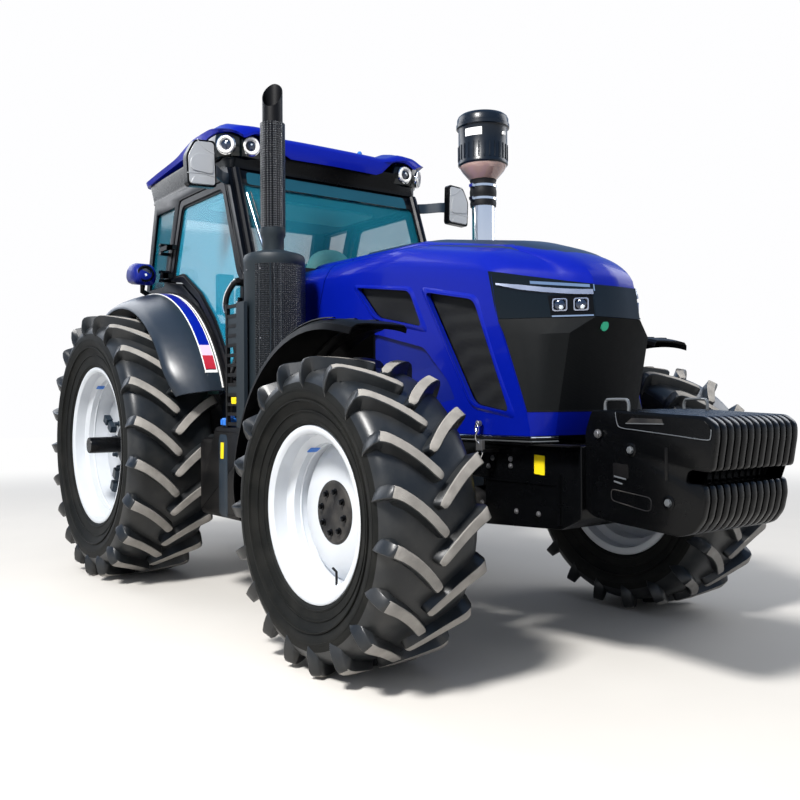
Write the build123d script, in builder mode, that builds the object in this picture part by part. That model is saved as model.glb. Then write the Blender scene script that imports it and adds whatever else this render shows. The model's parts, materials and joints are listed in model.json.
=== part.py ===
"""Farm tractor with closed cab and front weights: exact solids, millimetres.

Frame: +X forward, +Y to the tractor's left, +Z up, the ground at z = 0.  Side
outlines are written as (forward of the rear axle, up from the ground).
"""
import os
from math import cos, radians, sin, tan

from build123d import *

os.makedirs("parts", exist_ok=True)

# ---- driving sizes -------------------------------------------------------
WHEELBASE = 2940.0
WEIGHT_NOSE = 4386.0        # front of the suitcase weights
LINK_TAIL = -1226.0         # rear of the lower links
REAR_X = -(WEIGHT_NOSE + LINK_TAIL) / 2

FRONT_R, FRONT_RIM, FRONT_RIM_W, FRONT_W = 724.0, 381.0, 420.0, 530.0
REAR_R, REAR_RIM, REAR_RIM_W, REAR_W = 940.0, 533.0, 500.0, 610.0
FRONT_Y, REAR_Y = 1072.0, 1075.0
FRONT_LUGS, REAR_LUGS = 19, 21          # per half of the tread
KINGPIN_Y = 880.0
SEAT = 30.0                 # rim flange height over the bead seat
LUG_SHARE = 0.062           # lug height as a share of the tyre's radius

CAB_HALF, CAB_WALL = 790.0, 60.0
HOOD_SKIN = 16.0
ARCH_R = 1010.0             # space round the rear tyre
RUN = 0.3                   # radial running gap of a pin in its bore


# ---- frames and small builders -------------------------------------------
def at(x, y, z):
    """A point given from the rear axle's place."""
    return (REAR_X + x, y, z)


def side_plane(y):
    return Plane(origin=(REAR_X, y, 0), x_dir=(1, 0, 0), z_dir=(0, -1, 0))


def cross_plane(x):
    return Plane(origin=(REAR_X + x, 0, 0), x_dir=(0, 1, 0), z_dir=(1, 0, 0))


def plan_plane(z):
    return Plane(origin=(REAR_X, 0, z), x_dir=(1, 0, 0), z_dir=(0, 0, 1))


def prism(plane, points, deep, mode=Mode.ADD):
    """Extrude a closed outline along its plane's normal."""
    with BuildSketch(plane) as outline:
        with BuildLine():
            Polyline(*points, close=True)
        make_face()
    extrude(outline.sketch, amount=deep, mode=mode)


def slab(points, y_left, y_right, mode=Mode.ADD):
    """Side outline carried from y_left to the right, down to y_right."""
    prism(side_plane(y_left), points, y_left - y_right, mode)


def block(x0, x1, y0, y1, z0, z1, mode=Mode.ADD):
    with Locations(at((x0 + x1) / 2, (y0 + y1) / 2, (z0 + z1) / 2)):
        Box(x1 - x0, y1 - y0, z1 - z0, mode=mode)


def bar(p, q, radius, mode=Mode.ADD):
    """Round bar between two points."""
    a, b = Vector(*at(*p)), Vector(*at(*q))
    with Locations(Plane(origin=(a + b) * 0.5, z_dir=b - a).location):
        Cylinder(radius, (b - a).length, mode=mode)


def stack(x, y, steps):
    """Upright turned piece: steps are (radius, z)."""
    points = [(0, steps[0][1])] + list(steps) + [(0, steps[-1][1])]
    plane = Plane(origin=at(x, y, 0), x_dir=(1, 0, 0), z_dir=(0, -1, 0))
    with BuildSketch(plane) as outline:
        with BuildLine():
            Polyline(*points, close=True)
        make_face()
    revolve(outline.sketch, axis=Axis(at(x, y, 0), (0, 0, 1)))


def finish(name, made):
    made.part.label = name
    export_step(made.part, f"parts/{name}.step")


def mirrored(made):
    """The same piece on the other side."""
    with BuildPart() as other:
        mirror(made.part, about=Plane.XZ)
    return other


def pair(name, made):
    """Export a right-hand piece and its mirror as one."""
    with BuildPart() as two:
        add(made.part)
        mirror(made.part, about=Plane.XZ)
    finish(name, two)


def both(name, made):
    """Export a right-hand piece and its left-hand mirror."""
    finish(f"{name}_right", made)
    finish(f"{name}_left", mirrored(made))


def on_wheel(made, x, y, z):
    """Carry a piece turned about its own Z to the right-hand wheel place."""
    place = Plane(origin=at(x, -y, z), x_dir=(1, 0, 0), z_dir=(0, -1, 0)).location
    with BuildPart() as there:
        with Locations(place):
            add(made.part)
    return there


def turned(points):
    """Turn a closed (width, radius) outline about Z."""
    with BuildSketch(Plane.XZ) as outline:
        with BuildLine():
            Polyline(*[(r, w) for w, r in points], close=True)
        make_face()
    revolve(outline.sketch, axis=Axis.Z)


def flat_ring(points, sides):
    """Closed (width, radius) outline carried round Z in that many flat sectors."""
    reach = max(r for w, r in points)
    half = tan(radians(180 / sides))
    with BuildPart() as sector:
        with BuildSketch(Plane.XZ) as outline:
            with BuildLine():
                Polyline(*[(r, w) for w, r in points], close=True)
            make_face()
        extrude(outline.sketch, amount=reach * half, both=True)
        with BuildSketch(Plane.XY.offset(-reach)) as wedge:
            with BuildLine():
                Polyline((0, 0), (2 * reach, -2 * reach * half), (2 * reach, 2 * reach * half),
                         close=True)
            make_face()
        extrude(wedge.sketch, amount=2 * reach, mode=Mode.INTERSECT)
    with BuildPart() as ring:
        with PolarLocations(0, sides):
            add(sector.part)
    return ring


# ---- wheels ---------------------------------------------------------------
def tyre(tip, rim, rim_w, width, count):
    """Tyre with chevron lugs, carried round Z; +Z is the outer side."""
    h, bead, deep = width / 2, rim_w / 2 - 15, tip * LUG_SHARE
    side = tip - rim
    half = [(bead, rim), (bead, rim + SEAT), (h, rim + side * 0.45), (h - 30, tip - deep - 14)]
    pitch = radians(360 / count) * tip
    lean, lug_half = pitch * 0.42, pitch * 0.11
    top = (tip ** 2 - (lean + lug_half) ** 2) ** 0.5
    with BuildPart() as lug:
        prism(Plane(origin=(tip - 110, 0, 0), x_dir=(0, 0, 1), z_dir=(1, 0, 0)),
              [(-12, lean - lug_half), (-12, lean + lug_half), (h, lug_half - lean),
               (h, -lug_half - lean)], 130)
        with BuildSketch(Plane.XZ) as edge:
            with BuildLine():
                Polyline((tip - 110, -40), (top, -40), (top, h - 40), (tip - 110, h),
                         close=True)
            make_face()
        extrude(edge.sketch, amount=pitch, both=True, mode=Mode.INTERSECT)
    with BuildPart() as other:
        mirror(lug.part, about=Plane.XY)
    with BuildPart() as made:
        add(flat_ring(half + [(-w, r) for w, r in half[::-1]], count).part)
        with PolarLocations(0, count):
            add(lug.part)
        with PolarLocations(0, count, start_angle=180 / count):
            add(other.part)
    return made


def rim(radius, rim_w, disc_w, hub_r, sides, skin=14.0):
    """Wheel rim with its disc; disc_w is the disc's outer face."""
    h, flange = rim_w / 2, radius + SEAT
    well = radius - 42
    return flat_ring([(h, flange), (h - 15, flange), (h - 15, radius), (h - 78, radius),
                      (h - 96, well), (-h + 96, well), (-h + 78, radius), (-h + 15, radius),
                      (-h + 15, flange), (-h, flange), (-h, radius - skin),
                      (-h + 88, well - skin),
                      (disc_w - 78, well - skin), (disc_w - 16, well - 95),
                      (disc_w - 16, hub_r), (disc_w, hub_r), (disc_w, well - 85),
                      (disc_w - 58, well - skin), (h - 88, well - skin), (h, radius - skin)],
                     sides)


tyre_front = on_wheel(tyre(FRONT_R, FRONT_RIM, FRONT_RIM_W, FRONT_W, FRONT_LUGS),
                      WHEELBASE, FRONT_Y, FRONT_R)
both("tyre_front", tyre_front)
tyre_rear = on_wheel(tyre(REAR_R, REAR_RIM, REAR_RIM_W, REAR_W, REAR_LUGS),
                     0, REAR_Y, REAR_R)
both("tyre_rear", tyre_rear)

FRONT_DISC, REAR_DISC = 78.0, 30.0
HUB_R, REAR_HUB_R, BAR_R = 150.0, 170.0, 57.5
BAR_END, BAR_ROOT, TUBE_END = 1372.0, 604.0, 640.0
SPINDLE_R, SPINDLE_END = 40.0, 54.0
with BuildPart() as blank:
    add(rim(FRONT_RIM, FRONT_RIM_W, FRONT_DISC, HUB_R, FRONT_LUGS).part)
    turned([(FRONT_DISC + 8, 0), (FRONT_DISC + 8, 138), (FRONT_DISC - 8, HUB_R + 6),
            (FRONT_DISC - 60, HUB_R + 6), (FRONT_DISC - 60, SPINDLE_R + RUN),
            (SPINDLE_END + 6, SPINDLE_R + RUN), (SPINDLE_END + 6, 0)])
    with Locations((0, 0, FRONT_DISC + 17)):
        with PolarLocations(98, 8):
            Cylinder(13, 18)
rim_front = on_wheel(blank, WHEELBASE, FRONT_Y, FRONT_R)
both("rim_front", rim_front)

with BuildPart() as blank:
    add(rim(REAR_RIM, REAR_RIM_W, REAR_DISC, REAR_HUB_R, REAR_LUGS).part)
    turned([(BAR_END - REAR_Y, 0), (BAR_END - REAR_Y, BAR_R), (REAR_DISC + 26, BAR_R),
            (REAR_DISC + 26, 118), (REAR_DISC - 8, REAR_HUB_R + 6),
            (REAR_DISC - 60, REAR_HUB_R + 6), (REAR_DISC - 60, BAR_R),
            (BAR_ROOT - REAR_Y, BAR_R), (BAR_ROOT - REAR_Y, 0)])
    with Locations((0, 0, REAR_DISC + 36)):
        with PolarLocations(92, 6):
            Cylinder(13, 20)
rim_rear = on_wheel(blank, 0, REAR_Y, REAR_R)
both("rim_rear", rim_rear)

# ---- front axle, knuckles, tie rod ---------------------------------------
AXLE_X, AXLE_Z = WHEELBASE, FRONT_R
SADDLE_Z = 850.0            # underside of the frame over the axle
PIN_R, TIE_PIN_R = 26.0, 14.0
YOKE_X, YOKE_Y, YOKE_Z = 52.0, (740.0, 800.0), (110.0, 150.0)
ARM_X = -230.0              # steering arm's eye behind the kingpin
KNUCKLE_Z = 98.0            # half the knuckle's height
with BuildPart() as front_axle_beam:
    bar((AXLE_X, -770, AXLE_Z), (AXLE_X, 770, AXLE_Z), 70)
    with Locations(at(AXLE_X, 0, AXLE_Z)):
        Cylinder(129, 240, rotation=(90, 0, 0))
    block(AXLE_X - 110, AXLE_X + 110, -120, 120, AXLE_Z, SADDLE_Z)
    block(AXLE_X - 200, AXLE_X + 200, -200, 200, SADDLE_Z, 1000, mode=Mode.SUBTRACT)
    for s in (-1, 1):
        inner, outer, tip = s * YOKE_Y[0], s * YOKE_Y[1], s * (KINGPIN_Y + 50)
        block(AXLE_X - YOKE_X, AXLE_X + YOKE_X, min(inner, outer), max(inner, outer),
              AXLE_Z - YOKE_Z[1], AXLE_Z + YOKE_Z[1])
        for z in (-1, 1):
            low, high = sorted((AXLE_Z + z * YOKE_Z[0], AXLE_Z + z * YOKE_Z[1]))
            block(AXLE_X - YOKE_X, AXLE_X + YOKE_X, min(outer, tip), max(outer, tip), low, high)
            bar((AXLE_X, s * KINGPIN_Y, AXLE_Z + z * 60),
                (AXLE_X, s * KINGPIN_Y, AXLE_Z + z * (YOKE_Z[0] + 2)), PIN_R)
finish("front_axle_beam", front_axle_beam)

ROD_X = AXLE_X + ARM_X
LUG_Z = (62.0, 96.0)        # mudguard bracket's foot, above the tie rod
GUARD_IN, GUARD_OUT, GUARD_R, GUARD_T = 905.0, 1255.0, 900.0, 8.0
GUARD_PLATE = (798.0, 786.0)
with BuildPart() as knuckle:
    bar((AXLE_X, -KINGPIN_Y, AXLE_Z - KNUCKLE_Z), (AXLE_X, -KINGPIN_Y, AXLE_Z + KNUCKLE_Z), 62)
    bar((AXLE_X, -KINGPIN_Y, AXLE_Z), (AXLE_X, -(FRONT_Y + FRONT_DISC - 66), AXLE_Z), 84)
    bar((AXLE_X, -KINGPIN_Y, AXLE_Z), (AXLE_X, -(FRONT_Y + SPINDLE_END), AXLE_Z), SPINDLE_R)
    for z in (-1, 1):
        bar((AXLE_X, -KINGPIN_Y, AXLE_Z + z * 60), (AXLE_X, -KINGPIN_Y, AXLE_Z + z * 130),
            PIN_R + RUN, mode=Mode.SUBTRACT)
    block(ROD_X - 26, AXLE_X, -KINGPIN_Y - 26, -KINGPIN_Y + 26, AXLE_Z - 26, AXLE_Z + 26)
    bar((ROD_X, -KINGPIN_Y, AXLE_Z - 40), (ROD_X, -KINGPIN_Y, AXLE_Z + 40), TIE_PIN_R + RUN,
        mode=Mode.SUBTRACT)
    block(AXLE_X - 240, AXLE_X, -KINGPIN_Y - 50, -KINGPIN_Y + 22, AXLE_Z + LUG_Z[0],
          AXLE_Z + LUG_Z[1])
    block(AXLE_X - 240, AXLE_X - 175, -KINGPIN_Y - 50, -GUARD_PLATE[0], AXLE_Z + LUG_Z[0],
          AXLE_Z + LUG_Z[1])
    bar((AXLE_X, -KINGPIN_Y, AXLE_Z + 50), (AXLE_X, -KINGPIN_Y, AXLE_Z + 130), PIN_R + RUN,
        mode=Mode.SUBTRACT)
both("knuckle", knuckle)

with BuildPart() as tie_rod:
    bar((ROD_X, 62 - KINGPIN_Y, AXLE_Z), (ROD_X, KINGPIN_Y - 62, AXLE_Z), 19)
    for s in (-1, 1):
        near, far, end = s * (KINGPIN_Y - 78), s * (KINGPIN_Y - 52), s * (KINGPIN_Y + 26)
        block(ROD_X - 26, ROD_X + 26, min(near, far), max(near, far), AXLE_Z - 50, AXLE_Z + 50)
        for low, high in ((32, 50), (-50, -32)):
            block(ROD_X - 26, ROD_X + 26, min(near, end), max(near, end), AXLE_Z + low,
                  AXLE_Z + high)
    bar((ROD_X, KINGPIN_Y, AXLE_Z - 40), (ROD_X, KINGPIN_Y, AXLE_Z + 40), TIE_PIN_R)
finish("tie_rod", tie_rod)



def arc_band(r_out, r_in, a0, a1, cx, cz, y_left, y_right):
    """Curved sheet about a wheel's axis, angles from forward, rising."""
    p = [(cx + r * cos(radians(a)), cz + r * sin(radians(a)))
         for r in (r_out, r_in) for a in (a0, (a0 + a1) / 2, a1)]
    with BuildSketch(side_plane(y_left)) as outline:
        with BuildLine():
            ThreePointArc(p[0], p[1], p[2])
            Line(p[2], p[5])
            ThreePointArc(p[5], p[4], p[3])
            Line(p[3], p[0])
        make_face()
    extrude(outline.sketch, amount=y_left - y_right)


with BuildPart() as mudguard_front:
    arc_band(GUARD_R, GUARD_R - GUARD_T, 74, 188, AXLE_X, AXLE_Z, -GUARD_IN, -GUARD_OUT)
    arc_band(GUARD_R - GUARD_T, GUARD_R - GUARD_T - 12, 96, 126, AXLE_X, AXLE_Z,
             -GUARD_PLATE[1], -970)
    slab([(AXLE_X - 175, AXLE_Z + LUG_Z[0]), (AXLE_X - 240, AXLE_Z + LUG_Z[0]),
          (AXLE_X - 430, AXLE_Z + 600), (AXLE_X - 430, AXLE_Z + 772),
          (AXLE_X - 180, AXLE_Z + 864)], -GUARD_PLATE[1], -GUARD_PLATE[0])
both("mudguard_front", mudguard_front)

# ---- running gear: frame, engine, gearbox, rear axle ----------------------
FRAME_HALF = 330.0
FRAME_TOP, BOLSTER_LOW = 1030.0, 615.0
CARRIER_X = 3718.0          # rear face of the weights
with BuildPart() as front_frame:
    slab([(1950, SADDLE_Z), (3075, SADDLE_Z), (3075, BOLSTER_LOW), (3590, 640),
          (CARRIER_X, 700), (CARRIER_X, FRAME_TOP), (1950, FRAME_TOP)],
         FRAME_HALF, -FRAME_HALF)
    block(1900, 3010, 60 - FRAME_HALF, FRAME_HALF - 60, SADDLE_Z - 10, FRAME_TOP + 10,
          mode=Mode.SUBTRACT)
    block(AXLE_X - 110, AXLE_X + 110, -FRAME_HALF + 40, FRAME_HALF - 40, SADDLE_Z, SADDLE_Z + 60)
finish("front_frame", front_frame)

ENGINE = (1930.0, 2890.0)
with BuildPart() as engine_block:
    block(ENGINE[0], ENGINE[1], -FRAME_HALF + 60, FRAME_HALF - 60, 940, 1620)
    block(ENGINE[0] + 60, ENGINE[1] - 60, -190, 190, 1620, 1790)
    block(3060, 3300, -360, 360, FRAME_TOP, 1700)
finish("engine", engine_block)

# hitch points: link pivot, rockshaft, and where the lift rod meets the link
PTO_R, ROCK_R, LINK_PIN_R, ROD_PIN_R = 17.5, 45.0, 19.0, 12.0
LINK_A, ROCK, ROD_B = (-420.0, 670.0), (-420.0, 1150.0), (-820.0, 650.0)
with BuildPart() as gearbox:
    block(330, ENGINE[0], -235, 235, 640, 980)
    block(1700, ENGINE[0], -FRAME_HALF + 60, FRAME_HALF - 60, 640, 1500)
    block(-330, 330, -300, 300, 660, 1215)
    for s in (-1, 1):
        bar((0, s * 290, REAR_R), (0, s * TUBE_END, REAR_R), 128)
        bar((0, s * (BAR_ROOT - 6), REAR_R), (0, s * (TUBE_END + 6), REAR_R), BAR_R + RUN,
            mode=Mode.SUBTRACT)
        bar((LINK_A[0], s * 290, LINK_A[1]), (LINK_A[0], s * 376, LINK_A[1]), LINK_PIN_R)
        block(-462, -330, s * 245 - 15, s * 245 + 15, ROCK[1] - 60, ROCK[1] + 60)
    bar((ROCK[0], -280, ROCK[1]), (ROCK[0], 280, ROCK[1]), ROCK_R + RUN, mode=Mode.SUBTRACT)
    block(-480, -330, -300, 300, 560, 900)
    block(-430, -330, -60, 60, 940, 1060)
    bar((-480, 0, 690), (-580, 0, 690), PTO_R)
finish("gearbox", gearbox)

# ---- suitcase weights ------------------------------------------------------
WEIGHTS, WEIGHT_PITCH, WEIGHT_T = 13, 47.6, 38.0
WEIGHT_EDGE = [(3718, 744), (3766, 716), (3865, 703), (4115, 685), (4218, 678), (4282, 700),
               (4322, 753), (4340, 834), (4331, 900), (4246, 898), (4262, 955), (4364, 948),
               (4386, 1084), (4384, 1138), (4338, 1172), (3900, 1194), (3756, 1196),
               (3718, 1102)]
with BuildPart() as weights:
    span = WEIGHT_PITCH * (WEIGHTS - 1) / 2
    slab([(3718, 760), (3790, 730), (4200, 706), (4250, 740), (4300, 880), (4225, 885),
          (4240, 970), (4340, 975), (4356, 1110), (4320, 1150), (3900, 1172),
          (3770, 1172), (3718, 1100)], span, -span)
    for i in range(WEIGHTS):
        y = span - i * WEIGHT_PITCH
        slab(WEIGHT_EDGE, y + WEIGHT_T / 2, y - WEIGHT_T / 2)
    for s in (-1, 1):
        y = s * span
        bar((3830, y, 1180), (3830, y, 1236), 8)
        bar((3940, y, 1180), (3940, y, 1236), 8)
        bar((3822, y, 1236), (3948, y, 1236), 8)
finish("weights", weights)

# ---- hood ------------------------------------------------------------------
# station: (x, (half width, z) at the foot, the crease, the shoulder, crown z)
HOOD = [(1370, (450, 1000), (472, 1992), (424, 2088), 2190),
        (2500, (432, 1000), (472, 1984), (420, 2090), 2168),
        (3200, (418, 1000), (468, 1874), (404, 1976), 2056),
        (3720, (408, 1000), (452, 1770), (340, 1806), 1892)]
# nose plan at each height: z, (x, half width) at the mask's edge and the corner, front x
NOSE = [(900, (3500, 408), (3505, 287), 3520),
        (1190, (3468, 420), (3541, 287), 3560),
        (1552, (3342, 444), (3613, 285), 3640),
        (1632, (3308, 458), (3664, 158), 3676),
        (1784, (3276, 472), (3640, 156), 3656),
        (2300, (3100, 500), (3520, 156), 3540)]
HOOD_EDGE = [(1680, 1560), (1684, 1770), (1800, 2060), (1905, 2260), (3800, 2260),
             (3800, 1072), (2990, 1068), (2900, 1150), (2700, 1235), (2330, 1290),
             (2180, 1535), (2068, 1535)]
COWL_EDGE = [(1380, 1400), (1674, 1554), (1678, 1772), (1794, 2064), (1880, 2230), (1380, 2230)]
MASK_EDGE = [(3262, 1866), (3290, 1677), (3430, 1346), (3496, 1180), (3760, 1180),
             (3760, 1786), (3640, 1786)]
HOOD_PIN = (1869.0, 2192.0)


def hood_skin(inset, mode=Mode.ADD):
    """Hood body inside a lofted outline and a faceted nose, drawn in by inset."""
    x0 = HOOD[0][0] - inset / 10
    sections = []
    for x, foot, crease, shoulder, crown in HOOD:
        y = [p[0] - inset for p in (foot, crease, shoulder)]
        z = [foot[1], crease[1] - inset * 0.4, shoulder[1] - inset]
        with BuildSketch(cross_plane(x0 if x == HOOD[0][0] else x)) as cut:
            with BuildLine():
                Polyline((y[2], z[2]), (y[1], z[1]), (y[0], z[0]),
                         (-y[0], z[0]), (-y[1], z[1]), (-y[2], z[2]))
                ThreePointArc((-y[2], z[2]), (0, crown - inset), (y[2], z[2]))
            make_face()
        sections.append(cut.sketch)
    with BuildPart() as body:
        loft(sections, ruled=True)
    plans = []
    for z, edge, corner, front in NOSE:
        right = [(x0, 500 - inset), (edge[0] - inset / 2, edge[1] - inset),
                 (corner[0] - inset, corner[1] - inset / 2), (front - inset, 0)]
        with BuildSketch(plan_plane(z)) as plan:
            with BuildLine():
                Polyline(*right, *[(x, -y) for x, y in right[2::-1]], close=True)
            make_face()
        plans.append(plan.sketch)
    with BuildPart() as nose:
        loft(plans, ruled=True)
    add(body.part & nose.part, mode=mode)


def hood_shell(trim, outer=0.0, inner=HOOD_SKIN):
    """The hood's skin, kept inside a side outline."""
    with BuildPart() as keep:
        slab(trim, 520, -520)
    with BuildPart() as shell:
        hood_skin(outer)
        hood_skin(inner, mode=Mode.SUBTRACT)
        add(keep.part, mode=Mode.INTERSECT)
    return shell


WINDOWS = [[(2123, 1907), (2636, 1836), (2739, 1634), (2315, 1721)],
           [(2771, 1814), (3155, 1738), (3362, 1182), (3108, 1224)]]
with BuildPart() as hood:
    add(hood_shell(HOOD_EDGE).part)
    slab(MASK_EDGE, 520, -520, mode=Mode.SUBTRACT)
    for outline in WINDOWS:
        slab(outline, 520, 300, mode=Mode.SUBTRACT)
        slab(outline, -300, -520, mode=Mode.SUBTRACT)
    for s in (-1, 1):
        block(1840, 1902, s * 60 - 14, s * 60 + 14, 2150, 2230, mode=Mode.SUBTRACT)
    bar((HOOD_PIN[0], -74, HOOD_PIN[1]), (HOOD_PIN[0], 74, HOOD_PIN[1]), 7)
    for s in (-1, 1):
        block(HOOD_PIN[0] - 7, HOOD_PIN[0] + 60, s * 34 - 8, s * 34 + 8,
              HOOD_PIN[1] - 12, HOOD_PIN[1] + 7)
finish("hood", hood)

GRILLE_TOP = 1606.0
with BuildPart() as grille:
    add(hood_shell(MASK_EDGE).part)
    slab([(3000, GRILLE_TOP), (3800, GRILLE_TOP), (3800, 2300), (3000, 2300)], 520, -520,
         mode=Mode.SUBTRACT)
    for outline in WINDOWS:
        add(hood_shell(outline, 4.0, 12.0).part)
finish("grille", grille)
with BuildPart() as lamp_band:
    add(hood_shell(MASK_EDGE).part)
    slab([(3000, GRILLE_TOP), (3800, GRILLE_TOP), (3800, 900), (3000, 900)], 520, -520,
         mode=Mode.SUBTRACT)
finish("lamp_band", lamp_band)
with BuildPart() as cowl:
    add(hood_shell(COWL_EDGE).part)
    for s in (-1, 1):
        block(1850, 1902, s * 34 - 14, s * 34 + 14, 2150, 2230, mode=Mode.SUBTRACT)
        block(HOOD_PIN[0] - 90, HOOD_PIN[0] + 22, s * 60 - 8, s * 60 + 8,
              HOOD_PIN[1] - 14, HOOD_PIN[1] + 20)
    bar((HOOD_PIN[0], -80, HOOD_PIN[1]), (HOOD_PIN[0], 80, HOOD_PIN[1]), 7 + RUN,
        mode=Mode.SUBTRACT)
finish("cowl", cowl)

# ---- cab --------------------------------------------------------------------
CAB_LOW, CAB_HIGH, FLOOR = 980.0, 2800.0, 1040.0
CAB_OUT = [(-200, CAB_HIGH), (1066, CAB_HIGH), (1326, 2100), (1380, 2080), (1380, 1640),
           (1250, 1420), (1230, CAB_LOW), (330, CAB_LOW), (330, 1215), (-330, 1215),
           (-380, 1500), (-400, 2100)]
CAB_IN = [(-160, 2740), (1035, 2740), (1262, 2100), (1320, 2040), (1320, 1660),
          (1190, 1435), (1170, FLOOR), (390, FLOOR), (390, 1275), (-290, 1275),
          (-330, 1500), (-340, 2100)]
DOOR = [(70, 2150), (290, 2720), (1022, 2720), (1246, 2112), (1298, 2045), (1298, 1690),
        (1195, 1462), (1190, 1395), (1062, 1395), (985, 1512), (805, 1762), (600, 1950),
        (300, 2122)]
DOOR_OPENING = [(56, 2146), (283, 2731), (1029, 2731), (1255, 2116), (1309, 2049),
                (1309, 1687), (1206, 1460), (1201, 1384), (1056, 1384), (976, 1506),
                (797, 1754), (594, 1941), (297, 2112)]
DOOR_GLASS = [(130, 2168), (323, 2670), (987, 2670), (1192, 2100), (1246, 2030),
              (1246, 1702), (1146, 1480), (1142, 1446), (1090, 1446), (1026, 1548),
              (842, 1802), (626, 1998), (316, 2172)]
QUARTER = [(-330, 2125), (-40, 2125), (190, 2690), (-160, 2690)]
DOOR_T, DOOR_PIN, DOOR_HINGES = 50.0, (55.0, 838.0), (2190.0, 2390.0)
WINDSHIELD_HALF, REAR_GLASS_HALF = 715.0, 640.0
PILLAR_LEAN = (1326 - 1066) / (CAB_HIGH - 2100)


def screen_x(z):
    return 1326 - PILLAR_LEAN * (z - 2100)


with BuildPart() as upper:
    slab(CAB_IN, CAB_HALF - CAB_WALL, CAB_WALL - CAB_HALF)
    with Locations(at(0, 0, REAR_R)):
        Cylinder(ARCH_R + 50, 1600, rotation=(90, 0, 0), mode=Mode.SUBTRACT)

with BuildPart() as cab_frame:
    slab(CAB_OUT, CAB_HALF, -CAB_HALF)
    for s in (-1, 1):
        with Locations(at(0, s * (CAB_HALF - 45), REAR_R)):
            Cylinder(ARCH_R, 90, rotation=(90, 0, 0), mode=Mode.SUBTRACT)
    slab(CAB_IN, 650, -650, mode=Mode.SUBTRACT)
    add(upper.part, mode=Mode.SUBTRACT)
    block(900, 1500, -WINDSHIELD_HALF, WINDSHIELD_HALF, 2140, 2700, mode=Mode.SUBTRACT)
    block(-600, -100, -REAR_GLASS_HALF, REAR_GLASS_HALF, 1900, 2700, mode=Mode.SUBTRACT)
    for outline in (DOOR_OPENING, QUARTER):
        slab(outline, 900, 600, mode=Mode.SUBTRACT)
        slab(outline, -600, -900, mode=Mode.SUBTRACT)
    for s in (-1, 1):
        for z in DOOR_HINGES:
            for up in (-1, 1):
                block(DOOR_PIN[0] - 20, DOOR_PIN[0] + 20, s * 824 - 34, s * 824 + 34,
                      z + up * 32 - 10, z + up * 32 + 10)
            bar((DOOR_PIN[0], s * DOOR_PIN[1], z - 60), (DOOR_PIN[0], s * DOOR_PIN[1], z + 60),
                9 + RUN, mode=Mode.SUBTRACT)
finish("cab_frame", cab_frame)

with BuildPart() as cab_glass:
    slab([(screen_x(2140) - 20, 2140), (screen_x(2140) - 12, 2140),
          (screen_x(2700) - 12, 2700), (screen_x(2700) - 20, 2700)],
         WINDSHIELD_HALF, -WINDSHIELD_HALF)
    slab([(-379, 1900), (-386, 2100), (-215, 2700), (-207, 2700), (-378, 2100),
          (-371, 1900)], REAR_GLASS_HALF, -REAR_GLASS_HALF)
    for y in (-CAB_HALF + 18, CAB_HALF - 24):
        slab(QUARTER, y + 6, y)
finish("cab_glass", cab_glass)

with BuildPart() as door:
    slab(DOOR, -CAB_HALF + DOOR_T, -CAB_HALF)
    slab(DOOR_GLASS, -600, -900, mode=Mode.SUBTRACT)
    for z in DOOR_HINGES:
        x = 70 + (z - 2150) * 220 / 570
        block(x + 14, x + 54, -DOOR_PIN[1] - 14, -CAB_HALF, z - 16, z + 16)
        block(DOOR_PIN[0] - 14, x + 54, -DOOR_PIN[1] - 14, -DOOR_PIN[1] + 14, z - 16, z + 16)
        bar((DOOR_PIN[0], -DOOR_PIN[1], z - 44), (DOOR_PIN[0], -DOOR_PIN[1], z + 44), 9)
    slab(DOOR_GLASS, -CAB_HALF + 24, -CAB_HALF + 18)
both("door", door)

LAMP_X, LAMP_Z, LAMP_R, LAMP_YS = 1080.0, 2950.0, 52.0, (657.0, 790.0)
ROOF_SIDE = [(-350, CAB_HIGH), (-412, 2925), (-392, 2985), (-150, 3034), (400, 3060),
             (950, 3050), (1110, 3010), (1166, 2950), (1150, 2880), (1080, CAB_HIGH)]
ROOF_FRONT = [(-790, CAB_HIGH), (-862, 2890), (-862, 2965), (-800, 3020), (-560, 3056),
              (0, 3070), (560, 3056), (800, 3020), (862, 2965), (862, 2890),
              (790, CAB_HIGH)]
ROOF_PLAN = [(-412, -620), (-335, -806), (600, -850), (1030, -862), (1122, -770), (1166, -600)]
POD = [(-300, 2985), (250, 3036), (750, 3098), (990, 3120), (1090, 3080), (1122, 2990),
       (1118, 2890), (-300, 2890)]
with BuildPart() as across:
    prism(cross_plane(-600), ROOF_FRONT, 2200)
    prism(plan_plane(2700), ROOF_PLAN + [(x, -y) for x, y in ROOF_PLAN[::-1]], 500,
          mode=Mode.INTERSECT)
with BuildPart() as cab_roof:
    slab(ROOF_SIDE, 900, -900)
    add(across.part, mode=Mode.INTERSECT)
    for s in (-1, 1):
        slab(POD, s * 720 + 125, s * 720 - 125)
        for y in LAMP_YS:
            bar((LAMP_X, s * y, LAMP_Z), (1300, s * y, LAMP_Z), LAMP_R, mode=Mode.SUBTRACT)
finish("cab_roof", cab_roof)

with BuildPart() as roof_lamps:
    for s in (-1, 1):
        for y in LAMP_YS:
            bar((LAMP_X, s * y, LAMP_Z), (LAMP_X + 40, s * y, LAMP_Z), LAMP_R)
finish("roof_lamps", roof_lamps)

with BuildPart() as mirror_arm:
    prism(plan_plane(2690), [(1072, -CAB_HALF), (1112, -CAB_HALF), (1240, -940), (1240, -990),
                             (1208, -990), (1200, -952), (1072, -814)], 60)
    block(1200, 1262, -1160, -940, 2580, 2900)
pair("mirrors", mirror_arm)

with BuildPart() as seat:
    block(120, 420, -180, 180, 1275, 1500)
    block(60, 560, -260, 260, 1500, 1610)
    slab([(60, 1560), (160, 1610), (60, 2190), (-40, 2190)], 245, -245)
finish("seat", seat)

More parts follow.
